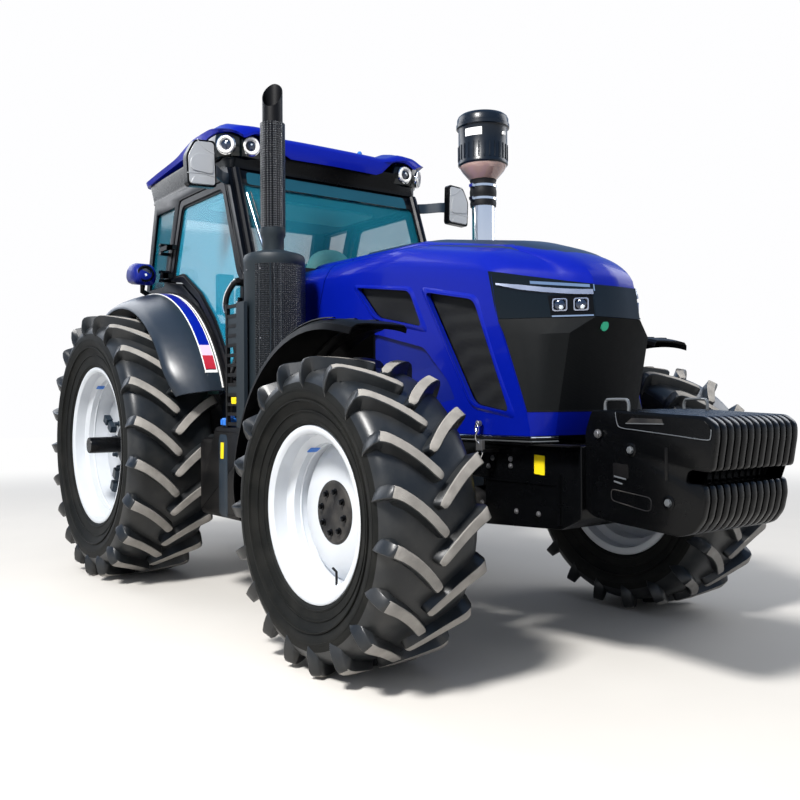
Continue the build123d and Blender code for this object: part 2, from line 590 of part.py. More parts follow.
with BuildPart() as console:
    slab([(1000, FLOOR), (1170, FLOOR), (1190, 1435), (1300, 1660), (1300, 1990),
          (1060, 1990), (960, 1800), (1040, 1500)], 260, -260)

WHEEL_C, WHEEL_TILT, WHEEL_R = (800.0, 1830.0), 62.0, 190.0
column = (cos(radians(WHEEL_TILT)), sin(radians(WHEEL_TILT)))
tilted = Plane(origin=at(WHEEL_C[0], 0, WHEEL_C[1]), x_dir=(0, 1, 0),
               z_dir=(-column[0], 0, column[1]))
grip = flat_ring([(-12, WHEEL_R - 12), (12, WHEEL_R - 12), (12, WHEEL_R + 12),
                  (-12, WHEEL_R + 12)], 16)
with BuildPart() as steering:
    with Locations(tilted.location):
        add(grip.part)
        Cylinder(48, 34)
        Box(2 * WHEEL_R, 34, 16)
    bar((WHEEL_C[0], 0, WHEEL_C[1]),
        (WHEEL_C[0] + 240 * column[0], 0, WHEEL_C[1] - 240 * column[1]), 36)
    bar((WHEEL_C[0] + 238 * column[0], 0, WHEEL_C[1] - 240 * column[1]), (1010, 0, 1610), 40)
    add(console.part)
finish("console", steering)

# ---- fenders, lamps ---------------------------------------------------------
FENDER = [(790, 1020), (790, 1118), (900, 1116), (1050, 1072), (1140, 1030), (1156, 990),
          (1144, 986), (1128, 1020), (1044, 1058), (896, 1103), (803, 1105), (803, 1020)]
FENDER_FROM, FENDER_TO = 20.0, 152.0


def about_rear(points, a0, a1):
    """Turn a (distance from the centre plane, radius) outline about the rear axle."""
    a = radians(a0)
    start = Plane(origin=at(0, 0, REAR_R), x_dir=(0, -1, 0), z_dir=(-sin(a), 0, cos(a)))
    with BuildSketch(start) as outline:
        with BuildLine():
            Polyline(*points, close=True)
        make_face()
    revolve(outline.sketch, axis=Axis(at(0, 0, REAR_R), (0, -1, 0)), revolution_arc=a1 - a0)


with BuildPart() as fender:
    about_rear(FENDER, FENDER_FROM, FENDER_TO)
pair("fenders", fender)

with BuildPart() as tail_lamp:
    about_rear([(830, 1030), (1080, 1030), (1080, 1100), (830, 1100)], FENDER_TO,
               FENDER_TO + 2)
pair("tail_lamps", tail_lamp)

# ---- exhaust and intake -----------------------------------------------------
CAN, CAN_R, PIPE_R, SHIELD_R = (1655.0, -760.0), 186.0, 62.0, 76.0
CAN_TOP, PIPE_X = 2158.0, CAN[0] - 14


def tube_along(points, bend, radius):
    """Round tube along straight runs joined by bends."""
    with BuildLine() as path:
        FilletPolyline(*[at(*p) for p in points], radius=bend)
    start = path.line @ 0
    with BuildSketch(Plane(origin=start, z_dir=path.line % 0)) as ring:
        Circle(radius)
    sweep(ring.sketch, path=path.line)


with BuildPart() as exhaust:
    stack(CAN[0], CAN[1], [(CAN_R - 20, 1180), (CAN_R, 1200), (CAN_R, 2110),
                           (CAN_R - 14, 2134), (92, CAN_TOP)])
    block(1600, 1800, -640, -270, 1230, 1330)
    tube_along([(2000, -270, 1430), (2000, CAN[1], 1430), (CAN[0], CAN[1], 1430)], 110, 46)
    stack(PIPE_X, CAN[1], [(PIPE_R + 4, CAN_TOP - 6), (PIPE_R + 4, 2250), (SHIELD_R, 2250),
                           (SHIELD_R, 2940), (PIPE_R + 4, 2940)])
    bar((PIPE_X, CAN[1], 2930), (PIPE_X, CAN[1], 3215), PIPE_R)
    bar((PIPE_X, CAN[1], 2960), (PIPE_X, CAN[1], 3300), PIPE_R - 6, mode=Mode.SUBTRACT)
    slab([(PIPE_X + PIPE_R + 4, 3030), (PIPE_X - PIPE_R + 16, 3215), (PIPE_X - PIPE_R - 4, 3260),
          (PIPE_X + PIPE_R + 4, 3260)], CAN[1] + 80, CAN[1] - 80, mode=Mode.SUBTRACT)
finish("exhaust", exhaust)

INTAKE = (2020.0, 620.0)
with BuildPart() as air_cleaner:
    stack(INTAKE[0], INTAKE[1], [(78, 1330), (78, 2570), (86, 2570), (86, 2700), (150, 2800),
                                 (166, 2800), (166, 3065), (177, 3065), (177, 3125),
                                 (160, 3145)])
    bar((INTAKE[0], INTAKE[1], 1400), (INTAKE[0], 270, 1400), 70)
finish("air_cleaner", air_cleaner)

# ---- tanks, steps -----------------------------------------------------------
TANK = [(1060, 520), (1880, 520), (1905, 560), (1905, 1060), (1860, 1100), (1270, 1100),
        (1244, 1070), (1244, CAB_LOW - 12), (1040, CAB_LOW - 12), (1040, 560)]
RAIL_X, RAIL_Y, RAIL_TOP = (1440.0, 1690.0), (-985.0, -962.0), 1840.0
with BuildPart() as tanks:
    slab(TANK, -420, -990)
    block(1100, 1500, -420, -235, 700, 800)
    block(*RAIL_X, *RAIL_Y, 1090, RAIL_TOP)
    slab([(1520, 520), (1880, 520), (1905, 560), (1905, 1060), (1860, 1100), (1540, 1100),
          (1500, 1060), (1500, 560)], 990, 420)
    block(1510, 1690, 235, 420, 700, 800)
finish("tanks", tanks)
with BuildPart() as steps_left:
    for x in (1010, 1448):
        slab([(x, 430), (x + 12, 430), (x + 12, CAB_LOW), (x, CAB_LOW)], 1000, 560)
    for z, y in ((440, 1000), (700, 960), (960, 900)):
        block(1010, 1460, 620, y, z - 10, z + 12)
    block(1022, 1120, 235, 620, 700, 800)
finish("steps_left", steps_left)

# ---- hitch ------------------------------------------------------------------
LINK_E, LINK_Y, LINK_EY = (-1180.0, 630.0), 345.0, 425.0
BALL_BORE, TOP_BORE, DRAW_BORE = 18.7, 16.0, 16.5


def link_y(x):
    return LINK_Y + (LINK_EY - LINK_Y) * (LINK_A[0] - x) / (LINK_A[0] - LINK_E[0])


ROD_W = link_y(ROD_B[0])
with BuildPart() as lower_link:
    bar((LINK_A[0], -LINK_Y, LINK_A[1]), (LINK_E[0], -LINK_EY, LINK_E[1]), 22)
    bar((LINK_A[0], -LINK_Y + 22, LINK_A[1]), (LINK_A[0], -LINK_Y - 22, LINK_A[1]), 44)
    bar((LINK_E[0], -LINK_EY + 22.5, LINK_E[1]), (LINK_E[0], -LINK_EY - 22.5, LINK_E[1]), 45)
    bar((LINK_A[0], -LINK_Y + 40, LINK_A[1]), (LINK_A[0], -LINK_Y - 40, LINK_A[1]),
        LINK_PIN_R + RUN, mode=Mode.SUBTRACT)
    bar((LINK_E[0], -LINK_EY + 40, LINK_E[1]), (LINK_E[0], -LINK_EY - 40, LINK_E[1]),
        BALL_BORE, mode=Mode.SUBTRACT)
    bar((ROD_B[0], -ROD_W + 50, ROD_B[1]), (ROD_B[0], -ROD_W - 50, ROD_B[1]), ROD_PIN_R)
both("lower_link", lower_link)

ARM_C = (ROCK[0] + ROD_B[0] - LINK_A[0], ROCK[1] + ROD_B[1] - LINK_A[1])
with BuildPart() as lift_arms:
    bar((ROCK[0], -352, ROCK[1]), (ROCK[0], 352, ROCK[1]), ROCK_R)
    for s in (-1, 1):
        bar((ROCK[0], s * 332, ROCK[1]), (ARM_C[0], s * ROD_W, ARM_C[1]), 26)
        bar((ARM_C[0], s * (ROD_W - 26), ARM_C[1]), (ARM_C[0], s * (ROD_W + 26), ARM_C[1]), 34)
        bar((ARM_C[0], s * (ROD_W - 40), ARM_C[1]), (ARM_C[0], s * (ROD_W + 40), ARM_C[1]),
            ROD_PIN_R + RUN, mode=Mode.SUBTRACT)
finish("lift_arms", lift_arms)

with BuildPart() as lift_rod:
    bar((ROD_B[0], -ROD_W, ROD_B[1] + 110), (ARM_C[0], -ROD_W, ARM_C[1] - 90), 20)
    for z, low, high in ((ROD_B[1], -32, 112), (ARM_C[1], -92, 30)):
        block(ROD_B[0] - 26, ROD_B[0] + 26, -ROD_W - 46, -ROD_W + 46,
              z + (90 if high > 90 else -94), z + (112 if high > 90 else -70))
        for s in (-1, 1):
            block(ROD_B[0] - 26, ROD_B[0] + 26, -ROD_W + s * 39 - 7, -ROD_W + s * 39 + 7,
                  z + low, z + high)
    bar((ROD_B[0], -ROD_W + 60, ROD_B[1]), (ROD_B[0], -ROD_W - 60, ROD_B[1]),
        ROD_PIN_R + 6, mode=Mode.SUBTRACT)
    bar((ARM_C[0], -ROD_W + 46, ARM_C[1]), (ARM_C[0], -ROD_W - 46, ARM_C[1]), ROD_PIN_R)
both("lift_rod", lift_rod)

with BuildPart() as top_link:
    bar((-420, 0, 1001), (-1085, 0, 930), 20)
    block(-430, -300, -80, 80, 900, 1100, mode=Mode.SUBTRACT)
    bar((-1120, -25, 926), (-1120, 25, 926), 38)
    bar((-1120, -40, 926), (-1120, 40, 926), TOP_BORE, mode=Mode.SUBTRACT)
finish("top_link", top_link)

with BuildPart() as drawbar:
    block(-940, -380, -40, 40, 420, 460)
    block(-470, -390, -60, 60, 460, 560)
    with Locations(at(-895, 0, 440)):
        Cylinder(DRAW_BORE, 80, mode=Mode.SUBTRACT)
finish("drawbar", drawbar)
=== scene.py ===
"""Looks of the farm tractor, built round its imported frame.  Metres, +X forward,
+Y to the tractor's left, +Z up.  Tables give places forward of the rear axle."""
from math import cos, hypot, pi, radians, sin, sqrt, tau

import bmesh
import bpy
from mathutils import Matrix, Vector
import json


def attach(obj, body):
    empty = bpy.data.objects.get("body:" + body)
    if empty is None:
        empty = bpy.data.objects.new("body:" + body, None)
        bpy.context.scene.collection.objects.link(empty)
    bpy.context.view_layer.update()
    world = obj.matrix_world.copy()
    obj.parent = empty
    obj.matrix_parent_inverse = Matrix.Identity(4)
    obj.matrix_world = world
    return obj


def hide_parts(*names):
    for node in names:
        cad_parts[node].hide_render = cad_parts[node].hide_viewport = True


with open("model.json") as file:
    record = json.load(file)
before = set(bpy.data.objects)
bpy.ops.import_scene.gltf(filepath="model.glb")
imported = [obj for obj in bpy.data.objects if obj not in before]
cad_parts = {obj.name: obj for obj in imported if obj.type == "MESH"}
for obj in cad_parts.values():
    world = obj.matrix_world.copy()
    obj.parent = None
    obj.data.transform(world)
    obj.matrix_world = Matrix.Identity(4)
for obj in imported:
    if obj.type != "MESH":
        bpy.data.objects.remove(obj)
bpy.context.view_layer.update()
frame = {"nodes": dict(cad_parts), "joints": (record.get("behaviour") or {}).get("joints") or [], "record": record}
scene = bpy.context.scene
NODES = frame["nodes"]
JOINTS = {joint["name"]: Vector(joint["pos_m"]) for joint in frame["joints"]}
REAR = JOINTS["spin_rear_right"]
FRONT = JOINTS["spin_front_right"]
WHEELBASE = FRONT.x - REAR.x
SLOT_OF = {part["node"]: part["material_slot"] for part in frame["record"]["subparts"]}
SIDES = {"right": -1, "left": 1}


# ---- shader groups and finishes --------------------------------------------
def feed(tree, node, inputs):
    """Set a node's inputs to values, or link them from sockets."""
    for key, value in inputs.items():
        if isinstance(value, bpy.types.NodeSocket):
            tree.links.new(value, node.inputs[key])
        else:
            node.inputs[key].default_value = value
    return node


def add_node(tree, kind, inputs, **settings):
    """A new node with its settings and its inputs."""
    node = tree.nodes.new(kind)
    for name, value in settings.items():
        setattr(node, name, value)
    return feed(tree, node, inputs)


def group(name, inputs, outputs):
    """A shader node group with named sockets, and its two end nodes."""
    made = bpy.data.node_groups.new(name, "ShaderNodeTree")
    for label, value in inputs:
        kind = "NodeSocketFloat" if isinstance(value, float) else "NodeSocketVector"
        socket = made.interface.new_socket(label, in_out="INPUT", socket_type=kind)
        socket.default_value = value
    for label in outputs:
        made.interface.new_socket(label, in_out="OUTPUT", socket_type="NodeSocketFloat")
    return made, made.nodes.new("NodeGroupInput"), made.nodes.new("NodeGroupOutput")


def noise_node(tree, coords, scale, detail=4.0):
    return add_node(tree, "ShaderNodeTexNoise",
                    {"Vector": coords, "Scale": scale, "Detail": detail}).outputs["Fac"]


def math_node(tree, kind, *values, clamp=False):
    return add_node(tree, "ShaderNodeMath", dict(enumerate(values)), operation=kind,
                    use_clamp=clamp).outputs[0]


def ramp_node(tree, value, low, high):
    return add_node(tree, "ShaderNodeMapRange",
                    {"Value": value, "From Min": low, "From Max": high},
                    interpolation_type="SMOOTHSTEP").outputs["Result"]


def colour_mix(tree, factor, first, second):
    """Blend of two colours, each a tuple or a socket."""
    return add_node(tree, "ShaderNodeMix", {"Factor": factor, "A": first, "B": second},
                    data_type="RGBA").outputs["Result"]


def make_grain():
    """Fine surface grain: a height for bump and a patchy mask for roughness."""
    tree, given, out = group("surface_grain", [("Coords", (0.0, 0.0, 0.0)), ("Scale", 60.0)],
                             ["Height", "Patches"])
    coords, scale = given.outputs["Coords"], given.outputs["Scale"]
    slow = math_node(tree, "MULTIPLY", scale, 0.06)
    feed(tree, out, {"Height": noise_node(tree, coords, scale),
                     "Patches": noise_node(tree, coords, slow, 6.0)})
    return tree


def make_dust():
    """Yard dust: blotchy, and thicker below the given height."""
    tree, given, out = group("yard_dust", [("Coords", (0.0, 0.0, 0.0)), ("Top", 1.2),
                                           ("Amount", 0.3)], ["Mask"])
    coords = given.outputs["Coords"]
    split = add_node(tree, "ShaderNodeSeparateXYZ", {0: coords})
    rise = math_node(tree, "DIVIDE", split.outputs["Z"], given.outputs["Top"])
    low = math_node(tree, "SUBTRACT", 1.25, rise, clamp=True)
    blotch = ramp_node(tree, noise_node(tree, coords, 7.0, 8.0), 0.38, 0.72)
    patchy = math_node(tree, "MULTIPLY", low, blotch)
    feed(tree, out,
         {"Mask": math_node(tree, "MULTIPLY", patchy, given.outputs["Amount"], clamp=True)})
    return tree


def make_screen():
    """Pressed mesh or perforated sheet: round holes in offset rows, as a mask and a height."""
    tree, given, out = group("hole_screen", [("Coords", (0.0, 0.0, 0.0)), ("Pitch", 0.008),
                                             ("Share", 0.6)], ["Holes", "Height"])
    fine = math_node(tree, "DIVIDE", 1.0, given.outputs["Pitch"])
    scaled = add_node(tree, "ShaderNodeVectorMath", {0: given.outputs["Coords"], "Scale": fine},
                      operation="SCALE")
    cells = add_node(tree, "ShaderNodeTexVoronoi", {"Vector": scaled.outputs[0], "Scale": 1.0,
                                                    "Randomness": 0.0})
    near = math_node(tree, "MULTIPLY", given.outputs["Share"], 0.5)
    far = math_node(tree, "MULTIPLY", given.outputs["Share"], 0.75)
    rim = ramp_node(tree, cells.outputs["Distance"], near, far)
    feed(tree, out, {"Holes": math_node(tree, "SUBTRACT", 1.0, rim), "Height": rim})
    return tree


GRAIN, DUST, SCREEN = make_grain(), make_dust(), make_screen()
DUST_COLOUR = (0.36, 0.33, 0.29, 1.0)


def finish(name, colour, rough, metal=0.0, coat=0.0, grain=60.0, bump=0.05, dust=0.0, top=1.3,
           vary=0.12, holes=0.0, share=0.6, hole_colour=(0.002, 0.002, 0.003), shine=0.5):
    """A painted, cast or moulded surface: colour with grain, patches, dust and holes."""
    made = bpy.data.materials.new(name)
    made.use_nodes = True
    tree = made.node_tree
    shader = tree.nodes["Principled BSDF"]
    coords = tree.nodes.new("ShaderNodeTexCoord").outputs["Object"]
    fine = add_node(tree, "ShaderNodeGroup", {}, node_tree=GRAIN)
    feed(tree, fine, {"Scale": grain, "Coords": coords})
    dark = (*(c * (1 - vary) for c in colour), 1.0)
    pale = (*(min(c * (1 + vary), 1.0) for c in colour), 1.0)
    patches, height = fine.outputs["Patches"], fine.outputs["Height"]
    shade = colour_mix(tree, patches, dark, pale)
    rough_now = math_node(tree, "MULTIPLY_ADD", patches, 0.12, rough - 0.06)
    if dust:
        soil = add_node(tree, "ShaderNodeGroup", {}, node_tree=DUST)
        feed(tree, soil, {"Top": top, "Amount": dust, "Coords": coords})
        mask = soil.outputs["Mask"]
        shade = colour_mix(tree, mask, shade, DUST_COLOUR)
        rough_now = math_node(tree, "MULTIPLY_ADD", mask, 0.5, rough_now, clamp=True)
    if holes:
        screen = add_node(tree, "ShaderNodeGroup", {}, node_tree=SCREEN)
        feed(tree, screen, {"Pitch": holes, "Share": share, "Coords": coords})
        shade = colour_mix(tree, screen.outputs["Holes"], shade, (*hole_colour, 1.0))
        height = math_node(tree, "MULTIPLY_ADD", screen.outputs["Height"], 1.0, height)
    feed(tree, shader, {"Base Color": shade, "Roughness": rough_now, "Metallic": metal,
                        "Coat Weight": coat, "Coat Roughness": 0.04, "Specular IOR Level": shine})
    if bump:
        relief = add_node(tree, "ShaderNodeBump",
                          {"Strength": bump, "Distance": 0.01, "Height": height})
        feed(tree, shader, {"Normal": relief.outputs["Normal"]})
    return made


def clear(name, colour, alpha):
    """Thin glass that shows what is behind it and still shines."""
    made = finish(name, colour, 0.09, bump=0.0, vary=0.02, shine=0.3)
    made.node_tree.nodes["Principled BSDF"].inputs["Alpha"].default_value = alpha
    return made


blue = finish("paint_blue", (0.001, 0.0075, 0.25), 0.32, coat=0.16, bump=0.008, grain=400.0,
              vary=0.05, shine=0.11)
# Darker copy of the blue paint. On the hood's recessed step panel it is painted shade; the lamp pods use it as
# their own darker blue.
deep_and_shaded_blue = finish("paint_deep_and_shaded_blue", (0.002, 0.009, 0.17), 0.4, coat=0.1, bump=0.01,
                   grain=400.0, vary=0.06, shine=0.2)
black_gloss = finish("black_gloss", (0.0016, 0.0018, 0.0022), 0.26, coat=0.04, bump=0.01,
                     grain=300.0, vary=0.05, shine=0.14)
cab_black = finish("cab_black", (0.0012, 0.0018, 0.0035), 0.34, bump=0.01, grain=300.0,
                   vary=0.05, shine=0.1)
black_steel = finish("black_steel", (0.003, 0.003, 0.0035), 0.42, bump=0.04, grain=120.0,
                     dust=0.03, shine=0.2)
cast = finish("cast_dark", (0.01, 0.01, 0.011), 0.6, bump=0.2, grain=220.0, dust=0.2, shine=0.2)
rubber = finish("rubber_black", (0.009, 0.011, 0.013), 0.36, bump=0.04, grain=90.0, dust=0.05,
                top=2.5, shine=0.42)
sidewall = finish("rubber_sidewall", (0.006, 0.0065, 0.006), 0.62, bump=0.06, grain=140.0,
                  dust=0.02, top=2.5, shine=0.12)
lug_top = finish("lug_dusty", (0.3, 0.285, 0.265), 0.85, bump=0.5, grain=260.0, vary=0.35,
                 shine=0.2)
soft_black = finish("rubber_strip", (0.005, 0.005, 0.006), 0.55, bump=0.05, grain=300.0, shine=0.2)
rim_paint = finish("rim_white", (0.58, 0.61, 0.65), 0.38, coat=0.2, bump=0.01, dust=0.04)
mesh_dark = finish("mesh_black", (0.0035, 0.0045, 0.0045), 0.6, bump=0.12, grain=500.0,
                   holes=0.0035, share=0.7, shine=0.1)
window_mesh = finish("mesh_window", (0.016, 0.017, 0.018), 0.6, bump=0.2, grain=500.0,
                     holes=0.006, share=0.6, shine=0.12)
band = finish("band_black", (0.002, 0.004, 0.005), 0.1, coat=0.25, bump=0.0, shine=0.3)
inlay = finish("inlay_slate", (0.01, 0.02, 0.045), 0.42, bump=0.03, grain=300.0, coat=0.1,
               shine=0.35)
chrome = finish("bright_chrome", (0.8, 0.81, 0.83), 0.12, metal=1.0, bump=0.0, vary=0.02)
light_bar = finish("light_bar", (0.34, 0.37, 0.46), 0.22, metal=0.7, bump=0.02, grain=200.0)
fender_plastic = finish("fender_grey", (0.01, 0.016, 0.025), 0.34, bump=0.03, grain=500.0,
                        shine=0.5)
guard = finish("guard_black", (0.0012, 0.0012, 0.0014), 0.45, bump=0.06, grain=300.0, shine=0.1)
stack_black = finish("stack_black", (0.011, 0.017, 0.022), 0.5, bump=0.06, grain=200.0, shine=0.3)
shield = finish("shield_pierced", (0.05, 0.056, 0.062), 0.34, metal=0.3, bump=1.0, grain=300.0,
                holes=0.013, share=0.85, hole_colour=(0.003, 0.004, 0.006))
hammered = finish("shield_hammered", (0.12, 0.124, 0.128), 0.3, metal=0.5, bump=1.0,
                  grain=300.0, holes=0.014, share=0.9, hole_colour=(0.003, 0.003, 0.004))
pipe_black = finish("pipe_black", (0.002, 0.002, 0.0025), 0.5, bump=0.05, grain=200.0, shine=0.15)
# Light steel grey for bolt heads, handles, step treads and a frame line, where it stands for wear; on the weights'
# edges it is painted highlight lines.
wear_and_painted_highlight = finish("wear_and_painted_highlight", (0.14, 0.15, 0.16), 0.3, metal=0.4, bump=0.02)
intake = finish("intake_black", (0.004, 0.007, 0.012), 0.3, bump=0.03, grain=300.0, coat=0.1,
                shine=0.3)
bowl = finish("bowl_clear", (0.4, 0.26, 0.23), 0.08, bump=0.0, coat=0.8)
slate = finish("tank_slate", (0.008, 0.018, 0.03), 0.42, bump=0.04, grain=300.0, dust=0.03,
               shine=0.35)
cloth = finish("seat_cloth", (0.02, 0.024, 0.028), 0.9, bump=0.3, grain=600.0, shine=0.2)
mint = finish("trim_mint", (0.2, 0.5, 0.47), 0.6, bump=0.1, grain=500.0)
steel = finish("hitch_steel", (0.22, 0.22, 0.23), 0.4, metal=0.8, bump=0.1, grain=150.0, dust=0.1)
# Pale lens finish for the clear tail lamp and the CAD lamp lenses; also the small painted glints in the head, roof
# and pod lamps.
lens = finish("lamp_clear", (0.6, 0.66, 0.72), 0.1, bump=0.0, coat=0.6)
lamp_dark = finish("lamp_dark", (0.01, 0.018, 0.04), 0.08, bump=0.0, coat=0.8)
red = finish("lamp_red", (0.5, 0.01, 0.012), 0.22, coat=0.6, bump=0.0)
amber = finish("lamp_amber", (0.75, 0.22, 0.01), 0.22, coat=0.6, bump=0.0)
yellow = finish("plate_yellow", (0.8, 0.62, 0.01), 0.45, bump=0.02, shine=0.2)
green = finish("disc_green", (0.05, 0.6, 0.34), 0.4, bump=0.02, shine=0.2)
white = finish("label_white", (0.8, 0.8, 0.79), 0.5, bump=0.02, shine=0.2)
stripe_red = finish("stripe_red", (0.42, 0.012, 0.03), 0.35, coat=0.2, bump=0.0)
stripe_pale = finish("stripe_pale", (0.62, 0.46, 0.62), 0.35, coat=0.2, bump=0.0)
cap_blue = finish("cap_blue", (0.02, 0.16, 0.6), 0.35, bump=0.05, grain=300.0)
headliner = finish("headliner_grey", (0.06, 0.1, 0.11), 0.85, bump=0.2, grain=500.0)
mirror_shell = finish("mirror_shell", (0.42, 0.43, 0.44), 0.32, metal=0.4, bump=0.02, grain=60.0)
shade_band = finish("glass_shade", (0.004, 0.05, 0.075), 0.12, bump=0.0, coat=0.2)
glass = clear("clear_glass", (0.008, 0.17, 0.25), 0.32)
side_glass = clear("side_glass", (0.02, 0.36, 0.55), 0.34)

BY_SLOT = {"paint_blue": blue, "black_steel": black_steel, "cast_dark": cast,
           "rubber_black": rubber, "rim_white": rim_paint, "mesh_black": mesh_dark,
           "band_black": band, "fender_grey": fender_plastic, "guard_black": guard,
           "clear_glass": glass, "lamp_clear": lens, "lamp_red": red,
           "stack_black": stack_black, "intake_black": intake, "tank_slate": slate,
           "seat_cloth": cloth, "trim_mint": mint, "hitch_steel": steel}
for node, slot_name in SLOT_OF.items():
    NODES[node].data.materials.clear()
    NODES[node].data.materials.append(BY_SLOT[slot_name])


# ---- outlines and mesh work --------------------------------------------------
def smooth_line(points, steps):
    """A smooth line through points of any dimension."""
    line, last = [], len(points) - 1
    for i in range(last):
        a, b, c, d = (points[max(i - 1, 0)], points[i], points[i + 1], points[min(i + 2, last)])
        for k in range(steps):
            t = k / steps
            line.append(tuple(0.5 * (2 * q + (r - p) * t + (2 * p - 5 * q + 4 * r - s) * t * t
                                     + (3 * q - p - 3 * r + s) * t ** 3)
                              for p, q, r, s in zip(a, b, c, d)))
    line.append(tuple(points[-1]))
    return line


def between(table, x):
    """Row of a table at x, straight between its rows; the first column is x."""
    for low, high in zip(table, table[1:]):
        if x <= high[0] or high is table[-1]:
            t = (x - low[0]) / (high[0] - low[0])
            return tuple(p + (q - p) * t for p, q in zip(low, high))


def rounded(points, radius, steps=4):
    """Closed outline with its corners rounded."""
    line, count = [], len(points)
    for i, corner in enumerate(points):
        here = Vector(corner)
        before, after = Vector(points[i - 1]) - here, Vector(points[(i + 1) % count]) - here
        start = here + before.normalized() * min(radius, before.length * 0.48)
        end = here + after.normalized() * min(radius, after.length * 0.48)
        for k in range(steps + 1):
            t = k / steps
            line.append(tuple(start.lerp(here, t).lerp(here.lerp(end, t), t)))
    return line


def panel(a0, b0, a1, b1, radius):
    """Rounded rectangle between two corners."""
    return rounded([(a0, b0), (a1, b0), (a1, b1), (a0, b1)], radius)


def turns(count):
    """Angles of equal steps round a full turn."""
    return [tau * k / count for k in range(count)]


def inset(points, distance):
    """Closed outline drawn in by a distance, or let out by a negative one."""
    count = len(points)
    area = sum(points[i - 1][0] * points[i][1] - points[i][0] * points[i - 1][1]
               for i in range(count))
    side = 1 if area > 0 else -1
    line = []
    for i in range(count):
        here = Vector(points[i])
        one = (here - Vector(points[i - 1])).normalized()
        two = (Vector(points[(i + 1) % count]) - here).normalized()
        n1, n2 = Vector((-one.y, one.x)) * side, Vector((-two.y, two.x)) * side
        line.append(tuple(here + (n1 + n2) * (distance / max(1 + n1.dot(n2), 0.3))))
    return line


def mirrored(points, sign=-1):
    """The same points on the left side, or on the right for a sign of 1."""
    return [Vector((p.x, p.y * sign, p.z)) for p in points]


def new_object(name, data):
    made = bpy.data.objects.new(name, data)
    scene.collection.objects.link(made)
    return made


def placed(axis, a, b, deep):
    return {"x": (deep, a, b), "y": (a, deep, b), "z": (a, b, deep)}[axis]


class Work:
    """A piece in the making: its mesh, forward of the rear axle, and its finishes."""

    def __init__(self):
        self.mesh = bmesh.new()
        self.finishes = []

    def slot(self, surface):
        if surface not in self.finishes:
            self.finishes.append(surface)
        return self.finishes.index(surface)

    def take(self, points, faces, surface):
        corners = [self.mesh.verts.new(p) for p in points]
        index = self.slot(surface)
        for face in faces:
            self.mesh.faces.new([corners[i] for i in face]).material_index = index

    def rings(self, loops, surface, caps=True, closed=False):
        """Skin over loops of equal count, capped at its ends or joined end to end."""
        count, total = len(loops[0]), len(loops)
        faces = []
        for j in range(total if closed else total - 1):
            k = (j + 1) % total
            faces += [(j * count + i, j * count + (i + 1) % count,
                       k * count + (i + 1) % count, k * count + i) for i in range(count)]
        if caps and not closed:
            faces += [tuple(range(count)), tuple((total - 1) * count + i for i in range(count))]
        self.take([p for loop in loops for p in loop], faces, surface)

    def prism(self, outline, low, high, surface, axis="y"):
        self.rings([[placed(axis, a, b, deep) for a, b in outline] for deep in (low, high)],
                   surface)

    def layered(self, outline, layers, surface, axis="y"):
        """Skin through one outline, drawn in by its own amount at each depth."""
        self.rings([[placed(axis, a, b, deep) for a, b in inset(outline, draw)]
                    for deep, draw in layers], surface)

    def frame(self, outer, inner, low, high, surface):
        """Flat frame between two side outlines of equal count."""
        loops = [[placed("y", a, b, deep) for a, b in line]
                 for line, deep in ((outer, low), (outer, high), (inner, high), (inner, low))]
        self.rings(loops, surface, closed=True)

    def box(self, low, high, surface):
        self.prism([(low[0], low[1]), (high[0], low[1]), (high[0], high[1]), (low[0], high[1])],
                   low[2], high[2], surface, axis="z")

    def lathe(self, outline, centre, surface, axis=(0, 0, 1), steps=32, closed=False):
        """Turned piece: (along, radius) pairs between two flat ends, or a closed ring."""
        turn = Vector((0, 0, 1)).rotation_difference(Vector(axis)).to_matrix()
        loops = [[Vector(centre) + turn @ Vector((radius * cos(a), radius * sin(a), along))
                  for a in turns(steps)] for along, radius in outline]
        self.rings(loops, surface, caps=not closed, closed=closed)

    def tube(self, path, radius, surface, sides=12, closed=False):
        """Round tube along a line of points; radius is one value or one a point."""
        points = [Vector(p) for p in path]
        count = len(points)
        radii = radius if isinstance(radius, (list, tuple)) else [radius] * count
        loops, side = [], None
        for i, here in enumerate(points):
            ahead = points[(i + 1) % count] if closed or i + 1 < count else here
            behind = points[i - 1] if closed or i else here
            along = (ahead - behind).normalized()
            if side is None:
                side = along.orthogonal().normalized()
            side = (side - along * side.dot(along)).normalized()
            up = along.cross(side)
            loops.append([here + (side * cos(a) + up * sin(a)) * radii[i] for a in turns(sides)])
        self.rings(loops, surface, caps=not closed, closed=closed)

    def bolt(self, place, axis, radius, surface):
        """Hexagon head on a washer."""
        height = radius * 0.8
        self.lathe([(-0.002, radius * 1.45), (radius * 0.2, radius * 1.4)], place, surface,
                   axis, steps=12)
        self.lathe([(0, radius), (height, radius), (height * 1.15, radius * 0.8)], place,
                   surface, axis, steps=6)

    def add(self, mesh, turn=None):
        """Take in a finished mesh with its own materials."""
        start = len(self.mesh.faces)
        first = len(self.mesh.verts)
        self.mesh.from_mesh(mesh)
        self.mesh.faces.ensure_lookup_table()
        self.mesh.verts.ensure_lookup_table()
        places = [self.slot(surface) for surface in mesh.materials]
        for face in self.mesh.faces[start:]:
            face.material_index = places[min(face.material_index, len(places) - 1)]
        if turn is not None:
            bmesh.ops.transform(self.mesh, matrix=turn, verts=self.mesh.verts[first:])

    def flat_mesh(self, name="part"):
        bmesh.ops.recalc_face_normals(self.mesh, faces=self.mesh.faces)
        mesh = bpy.data.meshes.new(name)
        self.mesh.to_mesh(mesh)
        for surface in self.finishes:
            mesh.materials.append(surface)
        return mesh


